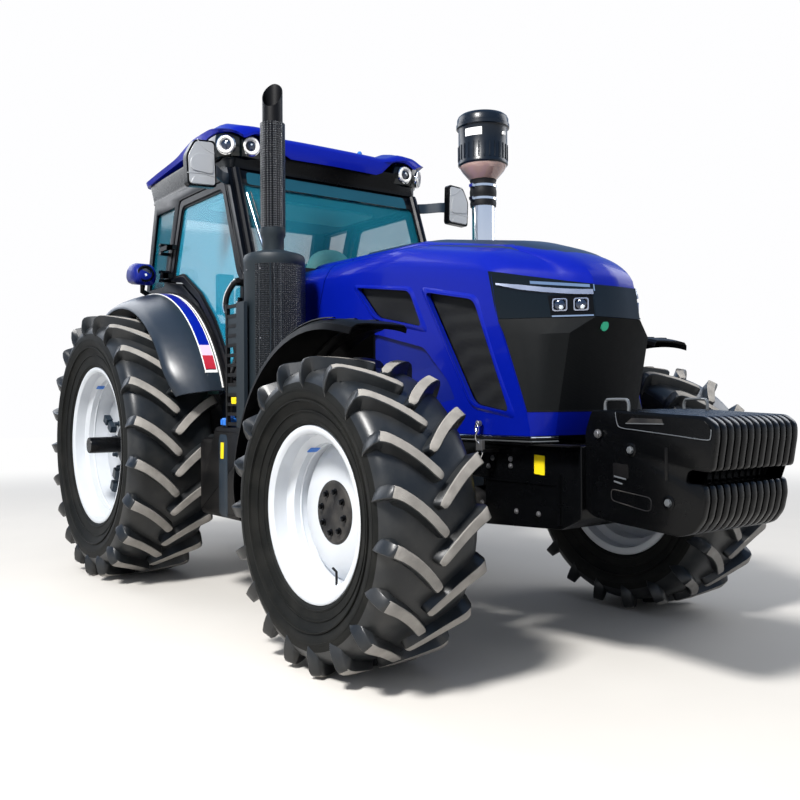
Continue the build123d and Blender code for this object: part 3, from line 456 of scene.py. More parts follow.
def applied(piece):
    """The piece's mesh with its modifiers applied."""
    graph = bpy.context.evaluated_depsgraph_get()
    mesh = bpy.data.meshes.new_from_object(piece.evaluated_get(graph), depsgraph=graph)
    piece.modifiers.clear()
    piece.data = mesh


def bevelled(piece, width, segments, angle):
    bevel = piece.modifiers.new("edges", "BEVEL")
    bevel.width, bevel.segments = width, segments
    bevel.limit_method, bevel.angle_limit = "ANGLE", radians(angle)
    bevel.harden_normals = True


def make(name, work, body, *nodes, bevel=0.0, segments=2, angle=32, slot=None, cutters=()):
    """Finish a piece: place it, cut it, soften its edges and let it ride."""
    bmesh.ops.translate(work.mesh, vec=(REAR.x, 0, 0), verts=work.mesh.verts)
    mesh = work.flat_mesh(name)
    piece = new_object(name, mesh)
    for cutter in cutters:
        bmesh.ops.translate(cutter.mesh, vec=(REAR.x, 0, 0), verts=cutter.mesh.verts)
        tool = new_object("cutter", cutter.flat_mesh())
        cut = piece.modifiers.new("cut", "BOOLEAN")
        cut.operation, cut.solver, cut.object = "DIFFERENCE", "EXACT", tool
        cut.material_mode = "TRANSFER"
        applied(piece)
        bpy.data.objects.remove(tool)
    piece.data.shade_smooth()
    if bevel:
        bevelled(piece, bevel, segments, angle)
    else:
        piece.data.set_sharp_from_angle(angle=radians(angle))
    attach(piece, body)
    if nodes:
        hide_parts(*nodes)
    return piece


def stand_in(piece, body, node):
    """Let a piece made from a CAD node's own shape ride and stand for it."""
    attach(piece, body)
    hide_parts(node)


def refined(node, body, width=0.004, surface=None):
    """A CAD node's shape with merged corners and softened edges, in its place."""
    mesh = NODES[node].data.copy()
    work = bmesh.new()
    work.from_mesh(mesh)
    bmesh.ops.remove_doubles(work, verts=work.verts, dist=1e-5)
    bmesh.ops.dissolve_limit(work, angle_limit=radians(1.0), verts=work.verts, edges=work.edges)
    work.to_mesh(mesh)
    work.free()
    if surface:
        mesh.materials.clear()
        mesh.materials.append(surface)
    piece = new_object(node + "_finished", mesh)
    mesh.shade_smooth()
    bevelled(piece, width, 2, 30)
    stand_in(piece, body, node)


# ---- laid-out copies ----------------------------------------------------------
def make_copies_tree():
    """Geometry Nodes: a part copied Count times, each one a Step and a Turn further."""
    tree = bpy.data.node_groups.new("laid_out_copies", "GeometryNodeTree")
    tree.interface.new_socket("Geometry", in_out="INPUT", socket_type="NodeSocketGeometry")
    for label, kind in (("Count", "Int"), ("Start", "Vector"), ("Step", "Vector"),
                        ("Lean", "Vector"), ("Turn", "Vector"), ("Finish", "Material"),
                        ("Top Finish", "Material")):
        tree.interface.new_socket(label, in_out="INPUT", socket_type="NodeSocket" + kind)
    tree.interface.new_socket("Geometry", in_out="OUTPUT", socket_type="NodeSocketGeometry")
    given, out = tree.nodes.new("NodeGroupInput"), tree.nodes.new("NodeGroupOutput")

    index = tree.nodes.new("GeometryNodeInputIndex")

    def counted(first, step):
        scale = add_node(tree, "ShaderNodeVectorMath",
                         {0: given.outputs[step], "Scale": index.outputs[0]}, operation="SCALE")
        return add_node(tree, "ShaderNodeVectorMath",
                        {0: given.outputs[first], 1: scale.outputs[0]}).outputs[0]

    points = add_node(tree, "GeometryNodePoints",
                      {"Count": given.outputs["Count"], "Position": counted("Start", "Step")})
    turned = add_node(tree, "FunctionNodeEulerToRotation", {0: counted("Lean", "Turn")})
    spread = add_node(tree, "GeometryNodeInstanceOnPoints",
                      {"Points": points.outputs[0], "Instance": given.outputs["Geometry"],
                       "Rotation": turned.outputs[0]})
    real = add_node(tree, "GeometryNodeRealizeInstances", {0: spread.outputs[0]})
    whole = add_node(tree, "GeometryNodeSetMaterial",
                     {"Geometry": real.outputs[0], "Material": given.outputs["Finish"]})
    top = add_node(tree, "GeometryNodeInputNamedAttribute", {"Name": "top"}, data_type="BOOLEAN")
    capped = add_node(tree, "GeometryNodeSetMaterial",
                      {"Geometry": whole.outputs[0], "Selection": top.outputs["Attribute"],
                       "Material": given.outputs["Top Finish"]})
    feed(tree, out, {"Geometry": capped.outputs[0]})
    return tree


COPIES = make_copies_tree()


def copies(part, count, surface, top=None, start=(0, 0, 0), step=(0, 0, 0), lean=(0, 0, 0),
           turn=(0, 0, 0)):
    """Mesh of a part's copies; part is a Work or a mesh."""
    mesh = part.flat_mesh() if isinstance(part, Work) else part
    holder = new_object("maker", mesh)
    lay = holder.modifiers.new("copies", "NODES")
    lay.node_group = COPIES
    values = {"Count": count, "Start": start, "Step": step, "Lean": lean, "Turn": turn,
              "Finish": surface, "Top Finish": top or surface}
    for socket in COPIES.interface.items_tree:
        if socket.in_out == "INPUT" and socket.name in values:
            value = values[socket.name]
            if isinstance(value, tuple):
                value = tuple(map(float, value))
            lay[socket.identifier] = value
    applied(holder)
    made = holder.data
    bpy.data.objects.remove(holder)
    return made


# ---- tyres and rims --------------------------------------------------------------
# centre (forward, out, up), half width, rim radius, half rim width, disc face, lugs a side
WHEELS = {"front": ((WHEELBASE, 1.072, FRONT.z), 0.265, 0.381, 0.21, 0.078, 19),
          "rear": ((0.0, 1.075, REAR.z), 0.305, 0.533, 0.25, 0.03, 21)}
LUG_SHARE = 0.062           # lug height as a share of the tyre's radius


def carcass(half, tip, rim, bead, deep):
    """Closed (width, radius) outline of the casing, outer bead to inner bead and back."""
    side = tip - rim
    line = smooth_line([(bead, rim + 0.004), (bead + 0.004, rim + 0.028),
                        (bead + 0.022, rim + 0.046), (bead + 0.034, rim + side * 0.3),
                        (half - 0.003, rim + side * 0.52), (half - 0.008, rim + side * 0.66),
                        (half - 0.03, tip - deep - 0.034), (half - 0.075, tip - deep - 0.01),
                        (half * 0.45, tip - deep - 0.001), (0.0, tip - deep + 0.002)], 4)
    return line + [(-w, r) for w, r in line[-2::-1]]


def lug_part(half, tip, deep, pitch):
    """One curved lug at the front of the wheel, its worn top marked."""
    def across(w):
        return pitch * (0.6 - 1.22 * w / half + 0.4 * (w / half) ** 2)

    # width, top radius, foot width and radius, half width of the top as a share
    rows = [(-0.012, tip - 0.007, -0.02, tip - deep - 0.02, 0.45),
            (-0.004, tip - 0.001, -0.012, tip - deep - 0.02, 0.85),
            (0.012, tip, 0.008, tip - deep - 0.02, 1.0)]
    rows += [(half * f, tip, half * f, tip - deep - 0.02, 1.0 + 0.15 * f)
             for f in (0.2, 0.34, 0.48, 0.62, 0.76)]
    rows += [(half - 0.04, tip - 0.003, half - 0.06, tip - deep - 0.04, 1.2),
             (half - 0.018, tip - 0.012, half - 0.06, tip - deep - 0.05, 1.25),
             (half - 0.006, tip - 0.034, half - 0.055, tip - deep - 0.06, 1.35),
             (half, tip - 0.08, half - 0.045, tip - deep - 0.08, 1.45),
             (half - 0.002, tip - 0.12, half - 0.035, tip - deep - 0.09, 1.5),
             (half - 0.014, tip - 0.15, half - 0.04, tip - 0.155, 1.45)]
    part = Work()
    loops, thick = [], pitch * 0.095
    for w, top, foot_w, foot_r, share in rows:
        slope = (across(w + 0.004) - across(w - 0.004)) / 0.008
        lean = Vector((1.0, -slope)).normalized()
        middle = Vector((across(w), w))
        loop = []
        for sign, wide, radius, shift in ((-1, thick * share + 0.011, foot_r, foot_w - w),
                                          (-1, thick * share, top, 0.0),
                                          (1, thick * share, top, 0.0),
                                          (1, thick * share + 0.011, foot_r, foot_w - w)):
            spot = middle + lean * sign * wide
            angle = -spot.x / tip
            loop.append((radius * cos(angle), spot.y + shift, radius * sin(angle)))
        loops.append(loop)
    part.rings(loops, rubber)
    mesh = part.mesh
    mesh.faces.ensure_lookup_table()
    marks = mesh.faces.layers.bool.new("top")
    for face in mesh.faces:
        radii = [hypot(v.co.x, v.co.z) for v in face.verts]
        if min(radii) > tip - 0.02 and len(face.verts) == 4:
            face[marks] = True
    bmesh.ops.recalc_face_normals(mesh, faces=mesh.faces)
    edges = [e for e in mesh.edges if e.calc_face_angle(0.0) > 0.6]
    bmesh.ops.bevel(mesh, geom=edges, offset=0.0035, segments=1, affect="EDGES",
                    clamp_overlap=True)
    return part


def make_tyre(end, side):
    centre, half, rim, rim_half, _, count = WHEELS[end]
    sign = SIDES[side]
    tip, bead = centre[2], rim_half - 0.015
    deep = tip * LUG_SHARE
    pitch = tau / count * tip
    middle = (centre[0], sign * centre[1], centre[2])
    work = Work()
    outline = carcass(half, tip, rim, bead, deep)
    work.lathe(outline + [(-bead, rim + 0.002), (bead, rim + 0.002)], middle, rubber,
               (0, sign, 0), 96, closed=True)
    wall = work.slot(sidewall)
    for face in work.mesh.faces:
        spot = face.calc_center_median() - Vector(middle)
        if hypot(spot.x, spot.z) < rim + (tip - rim) * 0.66:
            face.material_index = wall
    height = tip - rim
    for w, r, wide in ((bead + 0.024, rim + 0.052, 0.004),
                       (bead + 0.034, rim + height * 0.28, 0.003),
                       (half - 0.01, rim + height * 0.42, 0.003),
                       (half - 0.003, rim + height * 0.56, 0.004)):
        for face in (1, -1):
            work.lathe([(face * (w - 0.01), r - wide * 2), (face * (w + 0.003), r - wide),
                        (face * (w + 0.003), r + wide), (face * (w - 0.01), r + wide * 2)],
                       middle, sidewall, (0, sign, 0), 96, closed=True)
    lug = lug_part(half, tip, deep, pitch)
    other = Work()
    other.add(lug.flat_mesh(), Matrix.Diagonal((1, -1, 1, 1)))
    step = (0.0, tau / count, 0.0)
    for part, lean in ((lug, 0.0), (other, pi / count)):
        work.add(copies(part, count, rubber, lug_top, start=middle, turn=step,
                        lean=(0.0, lean, 0.0)))
    make(f"tyre_{end}_{side}_treaded", work, f"wheel_{end}_{side}", f"tyre_{end}_{side}", angle=40)


def make_rim(end, side):
    centre, _, rim, h, disc, _ = WHEELS[end]
    sign = SIDES[side]
    middle = (centre[0], sign * centre[1], centre[2])
    out = Vector((0, sign, 0))
    well = rim - 0.042
    work = Work()
    hub = 0.15 if end == "front" else 0.17
    outline = [(h, rim + 0.018), (h - 0.003, rim + 0.028), (h - 0.009, rim + 0.03),
               (h - 0.015, rim + 0.026), (h - 0.017, rim + 0.002), (h - 0.075, rim),
               (h - 0.098, well), (-h + 0.098, well), (-h + 0.075, rim), (-h + 0.017, rim + 0.002),
               (-h + 0.015, rim + 0.026), (-h + 0.009, rim + 0.03), (-h + 0.003, rim + 0.028),
               (-h, rim + 0.018), (-h + 0.008, rim - 0.012), (-h + 0.08, rim - 0.014),
               (-h + 0.102, well - 0.014), (disc - 0.076, well - 0.014),
               (disc - 0.05, well - 0.05), (disc - 0.016, well - 0.1), (disc - 0.016, hub),
               (disc, hub), (disc, well - 0.088), (disc - 0.036, well - 0.036),
               (disc - 0.054, well - 0.014), (h - 0.15, well - 0.014), (h - 0.146, well - 0.018),
               (h - 0.14, well - 0.018), (h - 0.136, well - 0.014), (h - 0.102, well - 0.014),
               (h - 0.084, rim - 0.014), (h - 0.014, rim - 0.012), (h - 0.004, rim)]
    work.lathe(outline, middle, rim_paint, out, 96, closed=True)
    if end == "front":
        work.lathe([(disc - 0.06, hub + 0.006), (disc - 0.008, hub + 0.006), (disc + 0.002, 0.146),
                    (disc + 0.008, 0.138)], middle, cast, out, 48)
        bolt = Work()
        bolt.lathe([(disc + 0.006, 0.018), (disc + 0.012, 0.018), (disc + 0.014, 0.012),
                    (disc + 0.026, 0.012), (disc + 0.028, 0.009)], (0.098, 0, 0),
                   black_gloss, out, 12)
        bolts, bolt_finish = 8, black_gloss
    else:
        work.lathe([(disc - 0.06, hub + 0.006), (disc - 0.008, hub + 0.006), (disc + 0.01, 0.15),
                    (disc + 0.026, 0.118)], middle, black_steel, out, 48)
        work.lathe([(disc + 0.02, 0.0575), (0.29, 0.0575), (0.2965, 0.054)], middle, black_gloss,
                   out, 40)
        bolt = Work()
        bolt.lathe([(disc - 0.002, 0.022), (disc + 0.006, 0.022), (disc + 0.006, 0.015),
                    (disc + 0.03, 0.015), (disc + 0.034, 0.01)], (0.2, 0, 0), black_gloss, out, 12)
        bolts, bolt_finish = 10, slate
        clamp = Work()
        for reach in (0.25, 0.36):
            clamp.box((reach - 0.035, -0.03, -0.026), (reach + 0.035, 0.03, 0.026), slate)
        clamp.box((0.21, -0.012, -0.014), (0.41, 0.02, 0.014), chrome)
        work.add(copies(clamp, 4, slate, start=(middle[0], middle[1] + sign * (disc + 0.016),
                                                middle[2]),
                        turn=(0.0, tau / 4, 0.0), lean=(0.0, 0.5, 0.0)))
    work.add(copies(bolt, bolts, bolt_finish, start=middle, turn=(0.0, tau / bolts, 0.0),
                    lean=(0.0, 0.2, 0.0)))
    valve = Vector(middle) + out * (disc + 0.03)
    work.tube([valve + Vector((0.06, 0, -(well - 0.014))), valve + Vector((0.06, 0, 0.075 - well)),
               valve + out * 0.02 + Vector((0.06, 0, 0.095 - well))], 0.006, black_steel)
    tag = Work()
    tag.prism(panel(-0.03, -0.022, 0.03, 0.022, 0.006), -0.001, 0.002, cap_blue, axis="x")
    angle = radians(118)
    work.add(tag.flat_mesh(), Matrix.Translation(
        Vector(middle) + out * (h - 0.115) + Vector((cos(angle), 0, sin(angle)))
        * (well - 0.016)) @ Matrix.Rotation(-angle, 4, "Y"))
    make(f"rim_{end}_{side}_finished", work, f"wheel_{end}_{side}", f"rim_{end}_{side}", angle=35)


for end in WHEELS:
    for side in SIDES:
        make_tyre(end, side)
        make_rim(end, side)


# ---- hood ---------------------------------------------------------------------------
# forward, half width at the foot, crease (half width, up), ridge (half width, up), crown up
HOOD = [(1.37, 0.45, 0.472, 1.992, 0.424, 2.088, 2.19),
        (2.5, 0.432, 0.472, 1.984, 0.42, 2.09, 2.168),
        (3.2, 0.418, 0.468, 1.874, 0.404, 1.976, 2.056),
        (3.72, 0.408, 0.452, 1.77, 0.34, 1.806, 1.892)]
# up, mask's edge (forward, out), corner (forward, out), front
NOSE = [(1.0, 3.498, 0.411, 3.512, 0.287, 3.53), (1.19, 3.468, 0.42, 3.541, 0.287, 3.56),
        (1.552, 3.342, 0.444, 3.613, 0.285, 3.64), (1.632, 3.308, 0.458, 3.664, 0.158, 3.676),
        (1.784, 3.276, 0.472, 3.64, 0.156, 3.656), (1.9, 3.256, 0.476, 3.61, 0.156, 3.626)]
FOOT, LIP_X, LIP_Z, LIP_DROP = 1.074, 3.262, 1.866, 0.217
EDGE_LENGTH, EDGE_POWER = 0.3, 2.4


def nose_spot(z, share, out=0.0):
    """Right side of the nose at height z; share 0 mask edge, 1 corner, 2 centre."""
    _, ex, ey, cx, cy, fx = between(NOSE, z)
    edge, corner, front = Vector((ex, -ey)), Vector((cx, -cy)), Vector((fx, 0.0))
    spot = edge.lerp(corner, share) if share <= 1 else corner.lerp(front, share - 1)
    one, two = (corner - edge).normalized(), (front - corner).normalized()
    along = one if share < 0.97 else (one + two).normalized() if share < 1.03 else two
    spot += Vector((along.y, -along.x)) * out
    return Vector((spot.x, spot.y, z))


def hood_row(x):
    """Half section of the hood from foot to crown, as (half width, up)."""
    _, foot, crease, crease_z, ridge, ridge_z, crown = between(HOOD, x)
    side = [(foot + (crease - foot) * t + 0.01 * sin(pi * t), FOOT + (crease_z - FOOT) * t)
            for t in (0, .12, .25, .4, .55, .7, .82, .92, 1)]
    bend = smooth_line([(crease, crease_z), (crease - 0.012, crease_z + 0.04),
                        (ridge + 0.006, ridge_z - 0.01), (ridge - 0.05, ridge_z + 0.012),
                        (ridge - 0.12, ridge_z + 0.03)], 3)
    rest = ridge - 0.12
    top = [(rest * cos(a), ridge_z + 0.03 + (crown - ridge_z - 0.03) * sin(a))
           for a in (pi / 2 * t for t in (.14, .28, .42, .56, .7, .84, .93))]
    return side + bend[1:] + top + [(0.0, crown)]


def front_limit(y, z):
    """How far forward the hood reaches at a half width and height."""
    _, ex, ey, cx, cy, fx = between(NOSE, min(z, 1.9))
    if y >= ey:
        return ex
    if y >= cy:
        return ex + (cx - ex) * (ey - y) / (ey - cy)
    return cx + (fx - cx) * (cy - y) / cy


def nose_dip(x, ahead):
    """Share of the drop to the lip at x, on the round edge that ends at ahead."""
    near = min(max((x - ahead + EDGE_LENGTH) / EDGE_LENGTH, 0.0), 1.0)
    return 1 - sqrt(max(1 - near ** EDGE_POWER, 0.0))


def hood_column(index, rear):
    """One lengthwise line of the hood skin, from the rear to the nose's lip."""
    ahead = 3.4
    for _ in range(12):
        y, z = hood_row(ahead)[index]
        ahead = front_limit(y, min(z, LIP_Z - (ahead - LIP_X) * LIP_DROP))
    y, z_end = hood_row(ahead)[index]
    lip = LIP_Z - max(ahead - LIP_X, 0.0) * LIP_DROP
    drop = max(z_end - lip, 0.0)
    line, steps = [], 34
    for k in range(steps + 1):
        x = rear + (ahead - rear) * (1 - (1 - k / steps) ** 1.5)
        y, z = hood_row(x)[index]
        line.append(Vector((x, -y, z - drop * nose_dip(x, ahead))))
    return line


def hood_shell(rear, skin):
    """Closed skin of the hood from its foot over the crown, as a Work."""
    columns = [hood_column(i, rear) for i in range(len(hood_row(2.0)))]
    columns += [mirrored(line) for line in columns[-2::-1]]
    work = Work()
    count = len(columns[0])
    rows, wide = [], len(columns)
    normals = {}
    for i in range(wide):
        for k in range(count):
            a = columns[max(i - 1, 0)][k]
            b = columns[min(i + 1, wide - 1)][k]
            c = columns[i][max(k - 1, 0)]
            d = columns[i][min(k + 1, count - 1)]
            normal = (b - a).cross(d - c)
            normals[i, k] = normal.normalized() if normal.length > 1e-9 else Vector((0, 0, 1))
    points = [columns[i][k] for i in range(wide) for k in range(count)]
    flip = -1 if normals[0, 5].y > 0 else 1
    points += [columns[i][k] - normals[i, k] * flip * skin for i in range(wide)
               for k in range(count)]
    shift = wide * count
    faces = []
    for i in range(wide - 1):
        for k in range(count - 1):
            quad = (i * count + k, i * count + k + 1, (i + 1) * count + k + 1, (i + 1) * count + k)
            faces += [quad, tuple(v + shift for v in quad[::-1])]
    for k in range(count - 1):
        for i in (0, wide - 1):
            a, b = i * count + k, i * count + k + 1
            faces.append((a, b, b + shift, a + shift))
    for i in range(wide - 1):
        for k in (0, count - 1):
            a, b = i * count + k, (i + 1) * count + k
            faces.append((a, b, b + shift, a + shift))
    work.take(points, faces, blue)
    return work


WINDOWS = [[(2.123, 1.907), (2.636, 1.836), (2.739, 1.634), (2.315, 1.721)],
           [(2.771, 1.814), (3.155, 1.738), (3.362, 1.182), (3.108, 1.224)]]
STEP_PANEL = [(2.0, 1.4), (2.3, 1.625), (2.74, 1.525), (2.93, 1.335), (3.035, 1.1),
              (3.03, 0.9), (2.0, 0.9)]
STEP_FILL = [(2.15, 1.56), (2.29, 1.645), (2.755, 1.545), (2.955, 1.345), (3.05, 1.085),
             (2.99, 1.068), (2.9, 1.15), (2.7, 1.235), (2.33, 1.29), (2.185, 1.535)]


def side_cutter(outline, low, high):
    work = Work()
    work.prism(outline, low, high, deep_and_shaded_blue)
    return work


def hood_side(x, z):
    """Half width of the hood's side at a place."""
    _, foot, crease, crease_z, *_ = between(HOOD, x)
    t = (z - FOOT) / (crease_z - FOOT)
    return foot + (crease - foot) * t + 0.01 * sin(pi * min(max(t, 0), 1))


def make_hood():
    cutters = []
    for sign in (1, -1):
        for outline in WINDOWS:
            cutters.append(side_cutter(rounded(outline, 0.04), sign * 0.3, sign * 0.6))
        cutters.append(side_cutter(rounded(STEP_PANEL, 0.03), sign * 0.4385, sign * 0.6))
    behind = [(1.2, 0.8), (2.068, 0.8), (2.068, 1.535), (1.68, 1.56), (1.684, 1.77),
              (1.8, 2.06), (1.905, 2.3), (1.905, 2.5), (1.2, 2.5)]
    cutters.append(side_cutter(behind, -0.6, 0.6))
    below = [(1.9, 0.8), (3.0, 0.8), (2.99, 1.068), (2.9, 1.15), (2.7, 1.235),
             (2.33, 1.29), (2.18, 1.535), (1.9, 1.535)]
    cutters.append(side_cutter(below, -0.6, 0.6))
    make("hood_finished", hood_shell(1.62, 0.015), "hood", "hood", angle=24, cutters=cutters)

    trim = Work()
    for sign in (1, -1):
        for outline in WINDOWS:
            ring = rounded(outline, 0.04)
            loops = []
            for line, proud in ((inset(outline, -0.026), 0.0), (inset(outline, -0.012), 0.009),
                                (inset(outline, -0.001), 0.009), (inset(outline, -0.001), -0.02)):
                loops.append([(a, sign * (hood_side(a, b) + proud), b)
                              for a, b in rounded(line, 0.045)])
            trim.rings(loops, blue, closed=True)
            pane = [(a, sign * (hood_side(a, b) - 0.03), b) for a, b in ring]
            back = [(a, sign * (hood_side(a, b) - 0.038), b) for a, b in ring]
            trim.rings([pane, back], window_mesh)
        # Recessed step panel in the darker blue: painted shade.
        step = [[(a, sign * (hood_side(a, b) - out), b) for a, b in rounded(STEP_FILL, 0.02)]
                for out in (0.018, 0.026)]
        trim.rings(step, deep_and_shaded_blue)
    widths = [(1.93, 0.3), (2.8, 0.3), (3.15, 0.296), (3.33, 0.272), (3.45, 0.215),
              (3.53, 0.135), (3.585, 0.05), (3.6, 0.004)]
    upper, lower = [], []
    for x, y_edge in smooth_line(widths, 4):
        row = hood_row(x)
        drop_row = []
        for s in (-1, -.8, -.6, -.4, -.2, 0, .2, .4, .6, .8, 1):
            y = abs(s) * y_edge
            for (y1, z1), (y0, z0) in zip(row, row[1:]):
                if y0 <= y <= y1 and z1 > 1.6:
                    t = (y1 - y) / max(y1 - y0, 1e-6)
                    z = z1 + (z0 - z1) * t
                    break
            ahead = front_limit(y, z)
            lip = LIP_Z - (ahead - LIP_X) * LIP_DROP
            z -= max(z - lip, 0.0) * nose_dip(x, ahead) * 0.9
            drop_row.append((x, s * y_edge, z))
        upper.append([(a, b, c + (0.008 if 0 < i < 10 else 0.001))
                      for i, (a, b, c) in enumerate(drop_row)])
        lower.append([(a, b, c - 0.006) for a, b, c in drop_row])
    loops = [up + low[::-1] for up, low in zip(upper, lower)]
    trim.rings(loops, inlay)
    make("hood_trim", trim, "hood", angle=28)


def nose_patch(work, surface, low, high, first, last, out, thick, steps=6, right=True, rise=0.0):
    """Closed skin on the nose between two heights and two shares, on the right side."""
    loops = []
    for k in range(steps + 1):
        share = first + (last - first) * k / steps
        lift = rise * (1 - k / steps)
        loops.append([nose_spot(low + lift, share, out), nose_spot(high + lift, share, out),
                      nose_spot(high + lift, share, out - thick),
                      nose_spot(low + lift, share, out - thick)])
    work.rings([mirrored(loop, 1 if right else -1) for loop in loops], surface)


def nose_wall(work, surface, heights, thick=0.014, top_rise=False):
    """Skin round the whole nose through a list of heights."""
    shares = [0, .25, .5, .75, .999, 1.001, 1.5, 2]
    loops = []
    spots = [(s, 1) for s in shares] + [(s, -1) for s in shares[-2::-1]]
    for share, sign in spots:
        loop = []
        for z in heights:
            if top_rise and z == heights[-1]:
                x = nose_spot(1.79, share).x
                z = LIP_Z - (x - LIP_X) * LIP_DROP + 0.002
            loop.append(nose_spot(z, share))
        loop += [nose_spot(p.z, share, -thick) for p in loop[::-1]]
        loops.append(mirrored(loop, sign))
    work.rings(loops, surface)


def make_nose():
    work = Work()
    nose_wall(work, mesh_dark, [1.194, 1.552, 1.63])
    nose_wall(work, soft_black, [1.186, 1.194], 0.018)
    make("grille_finished", work, "hood", "grille", angle=20)

    work = Work()
    nose_wall(work, band, [1.632, 1.7, 1.784], top_rise=True)
    for right in (True, False):
        sign = 1 if right else -1
        nose_patch(work, chrome, 1.77, 1.784, 0.4, 0.97, 0.0015, 0.004, right=right, rise=0.026)
        loops = []
        for k in range(13):
            share = 0.06 + 0.93 * k / 12
            z = 1.8 - 0.052 * (1 - (1 - k / 12) ** 1.6)
            tall = 0.008 + 0.016 * min(k / 3, 1.0)
            loop = [nose_spot(z - tall / 2, share, -0.004), nose_spot(z - tall / 2, share, 0.01),
                    nose_spot(z + tall / 2, share, 0.008), nose_spot(z + tall / 2, share, -0.004)]
            loops.append(mirrored(loop, sign))
        work.rings(loops, light_bar)
        nose_patch(work, black_gloss, 1.642, 1.736, 0.55, 0.985, 0.001, 0.004, right=right)
        nose_patch(work, chrome, 1.633, 1.64, 0.56, 0.97, 0.006, 0.012, right=right)
        nose_patch(work, chrome, 1.752, 1.784, 1.0, 1.04, 0.004, 0.008, 2, right=right)
        for share in (0.655, 0.865):
            spot = nose_spot(1.69, share, 0.003)
            ahead = nose_spot(1.69, share, 0.5) - spot
            spot = Vector((spot.x, spot.y * sign, spot.z))
            axis = Vector((ahead.x, ahead.y * sign, 0.0)).normalized()
            across = Vector((-axis.y, axis.x, 0.0))
            loops = []
            for wide, deep in ((0.035, -0.004), (0.035, 0.006), (0.03, 0.007), (0.027, -0.002)):
                square = rounded([(-wide, -wide * 0.86), (wide, -wide * 0.86),
                                  (wide, wide * 0.86), (-wide, wide * 0.86)], 0.012, 4)
                loops.append([spot + across * p + Vector((0, 0, q)) + axis * deep
                              for p, q in square])
            work.rings(loops, light_bar, caps=False, closed=True)
            work.lathe([(-0.003, 0.026), (0.003, 0.024), (0.009, 0.013)], spot, lamp_dark, axis,
                       28)
            # Small pale dot off the centre of the dark lens: a painted glint.
            work.lathe([(0.0, 0.012), (0.0085, 0.01), (0.0115, 0.004)],
                       spot + across * 0.006 * sign + Vector((0, 0, -0.012)), lens, axis, 14)
    make("lamp_band_finished", work, "hood", "lamp_band", angle=30)

    work = Work()
    nose_wall(work, blue, [FOOT, 1.13, 1.184])
    make("nose_strip", work, "hood", angle=20)
    work = Work()
    spot = nose_spot(1.59, 1.62)
    normal = (nose_spot(1.59, 1.62, 0.1) - spot + Vector((0, 0, -0.03))).normalized()
    work.lathe([(-0.002, 0.024), (0.003, 0.024)], spot, green, normal, 24)
    make("round_marker", work, "hood", angle=40, slot="mesh_black")


make_hood()
make_nose()


# ---- cab -----------------------------------------------------------------------------
CAB_HALF, CAB_WALL, CAB_TOP = 0.79, 0.06, 2.8
DOOR = [(0.07, 2.15), (0.29, 2.72), (1.022, 2.72), (1.246, 2.112), (1.298, 2.045), (1.298, 1.69),
        (1.195, 1.462), (1.19, 1.395), (1.062, 1.395), (0.985, 1.512), (0.805, 1.762), (0.6, 1.95),
        (0.3, 2.122)]
DOOR_GLASS = [(0.13, 2.168), (0.323, 2.67), (0.987, 2.67), (1.192, 2.1), (1.246, 2.03),
              (1.246, 1.702), (1.146, 1.48), (1.142, 1.446), (1.09, 1.446), (1.026, 1.548),
              (0.842, 1.802), (0.626, 1.998), (0.316, 2.172)]
# a door's pin (forward, out), and each hinge's height and arm
PIN_X, PIN_Y = 0.055, 0.838
DOOR_HINGES = ((2.19, 0.086), (2.39, 0.163))


def screen_x(z):
    """Windshield's line, leaning back as it rises."""
    return 1.326 - 0.371 * (z - 2.1)


def make_doors():
    for side, sign in SIDES.items():
        name = f"door_{side}"
        work = Work()
        y = sign * CAB_HALF
        outer, inner = rounded(DOOR, 0.04), rounded(DOOR_GLASS, 0.045)
        small = rounded(inset(DOOR, 0.006), 0.036)
        loops = [[(a, y - sign * deep, b) for a, b in line] for line, deep in
                 ((small, 0.05), (outer, 0.044), (outer, 0.006), (small, 0.0),
                  (rounded(inset(DOOR_GLASS, -0.004), 0.047), 0.0), (inner, 0.004),
                  (inner, 0.05))]
        work.rings(loops, cab_black, closed=True)
        work.frame(rounded(inset(DOOR_GLASS, -0.001), 0.045),
                   rounded(inset(DOOR_GLASS, 0.014), 0.032),
                   y - sign * 0.01, y - sign * 0.03, soft_black)
        work.prism(rounded(inset(DOOR_GLASS, 0.002), 0.04),
                   y - sign * 0.018, y - sign * 0.024, side_glass)
        for z, arm in DOOR_HINGES:
            work.box((arm + 0.014, y, z - 0.016), (arm + 0.054, sign * 0.852, z + 0.016),
                     black_steel)
            work.box((0.041, sign * 0.824, z - 0.016),
                     (arm + 0.054, sign * 0.852, z + 0.016), black_steel)
            work.tube([(PIN_X, sign * PIN_Y, z - 0.044), (PIN_X, sign * PIN_Y, z + 0.044)], 0.009,
                      steel)
        work.tube([(1.1, y - sign * 0.045, 1.62), (1.04, y - sign * 0.085, 1.66),
                   (0.93, y - sign * 0.085, 1.8), (0.88, y - sign * 0.045, 1.86)], 0.013,
                  soft_black)
        work.prism(rounded([(1.252, 1.72), (1.285, 1.74), (1.285, 1.9), (1.258, 1.92)], 0.01),
                   y, y + sign * 0.022, black_gloss)
        work.tube([(1.268, y + sign * 0.03, 1.75), (1.268, y + sign * 0.03, 1.89)], 0.006, chrome)
        make(f"{name}_finished", work, name, name, angle=34)


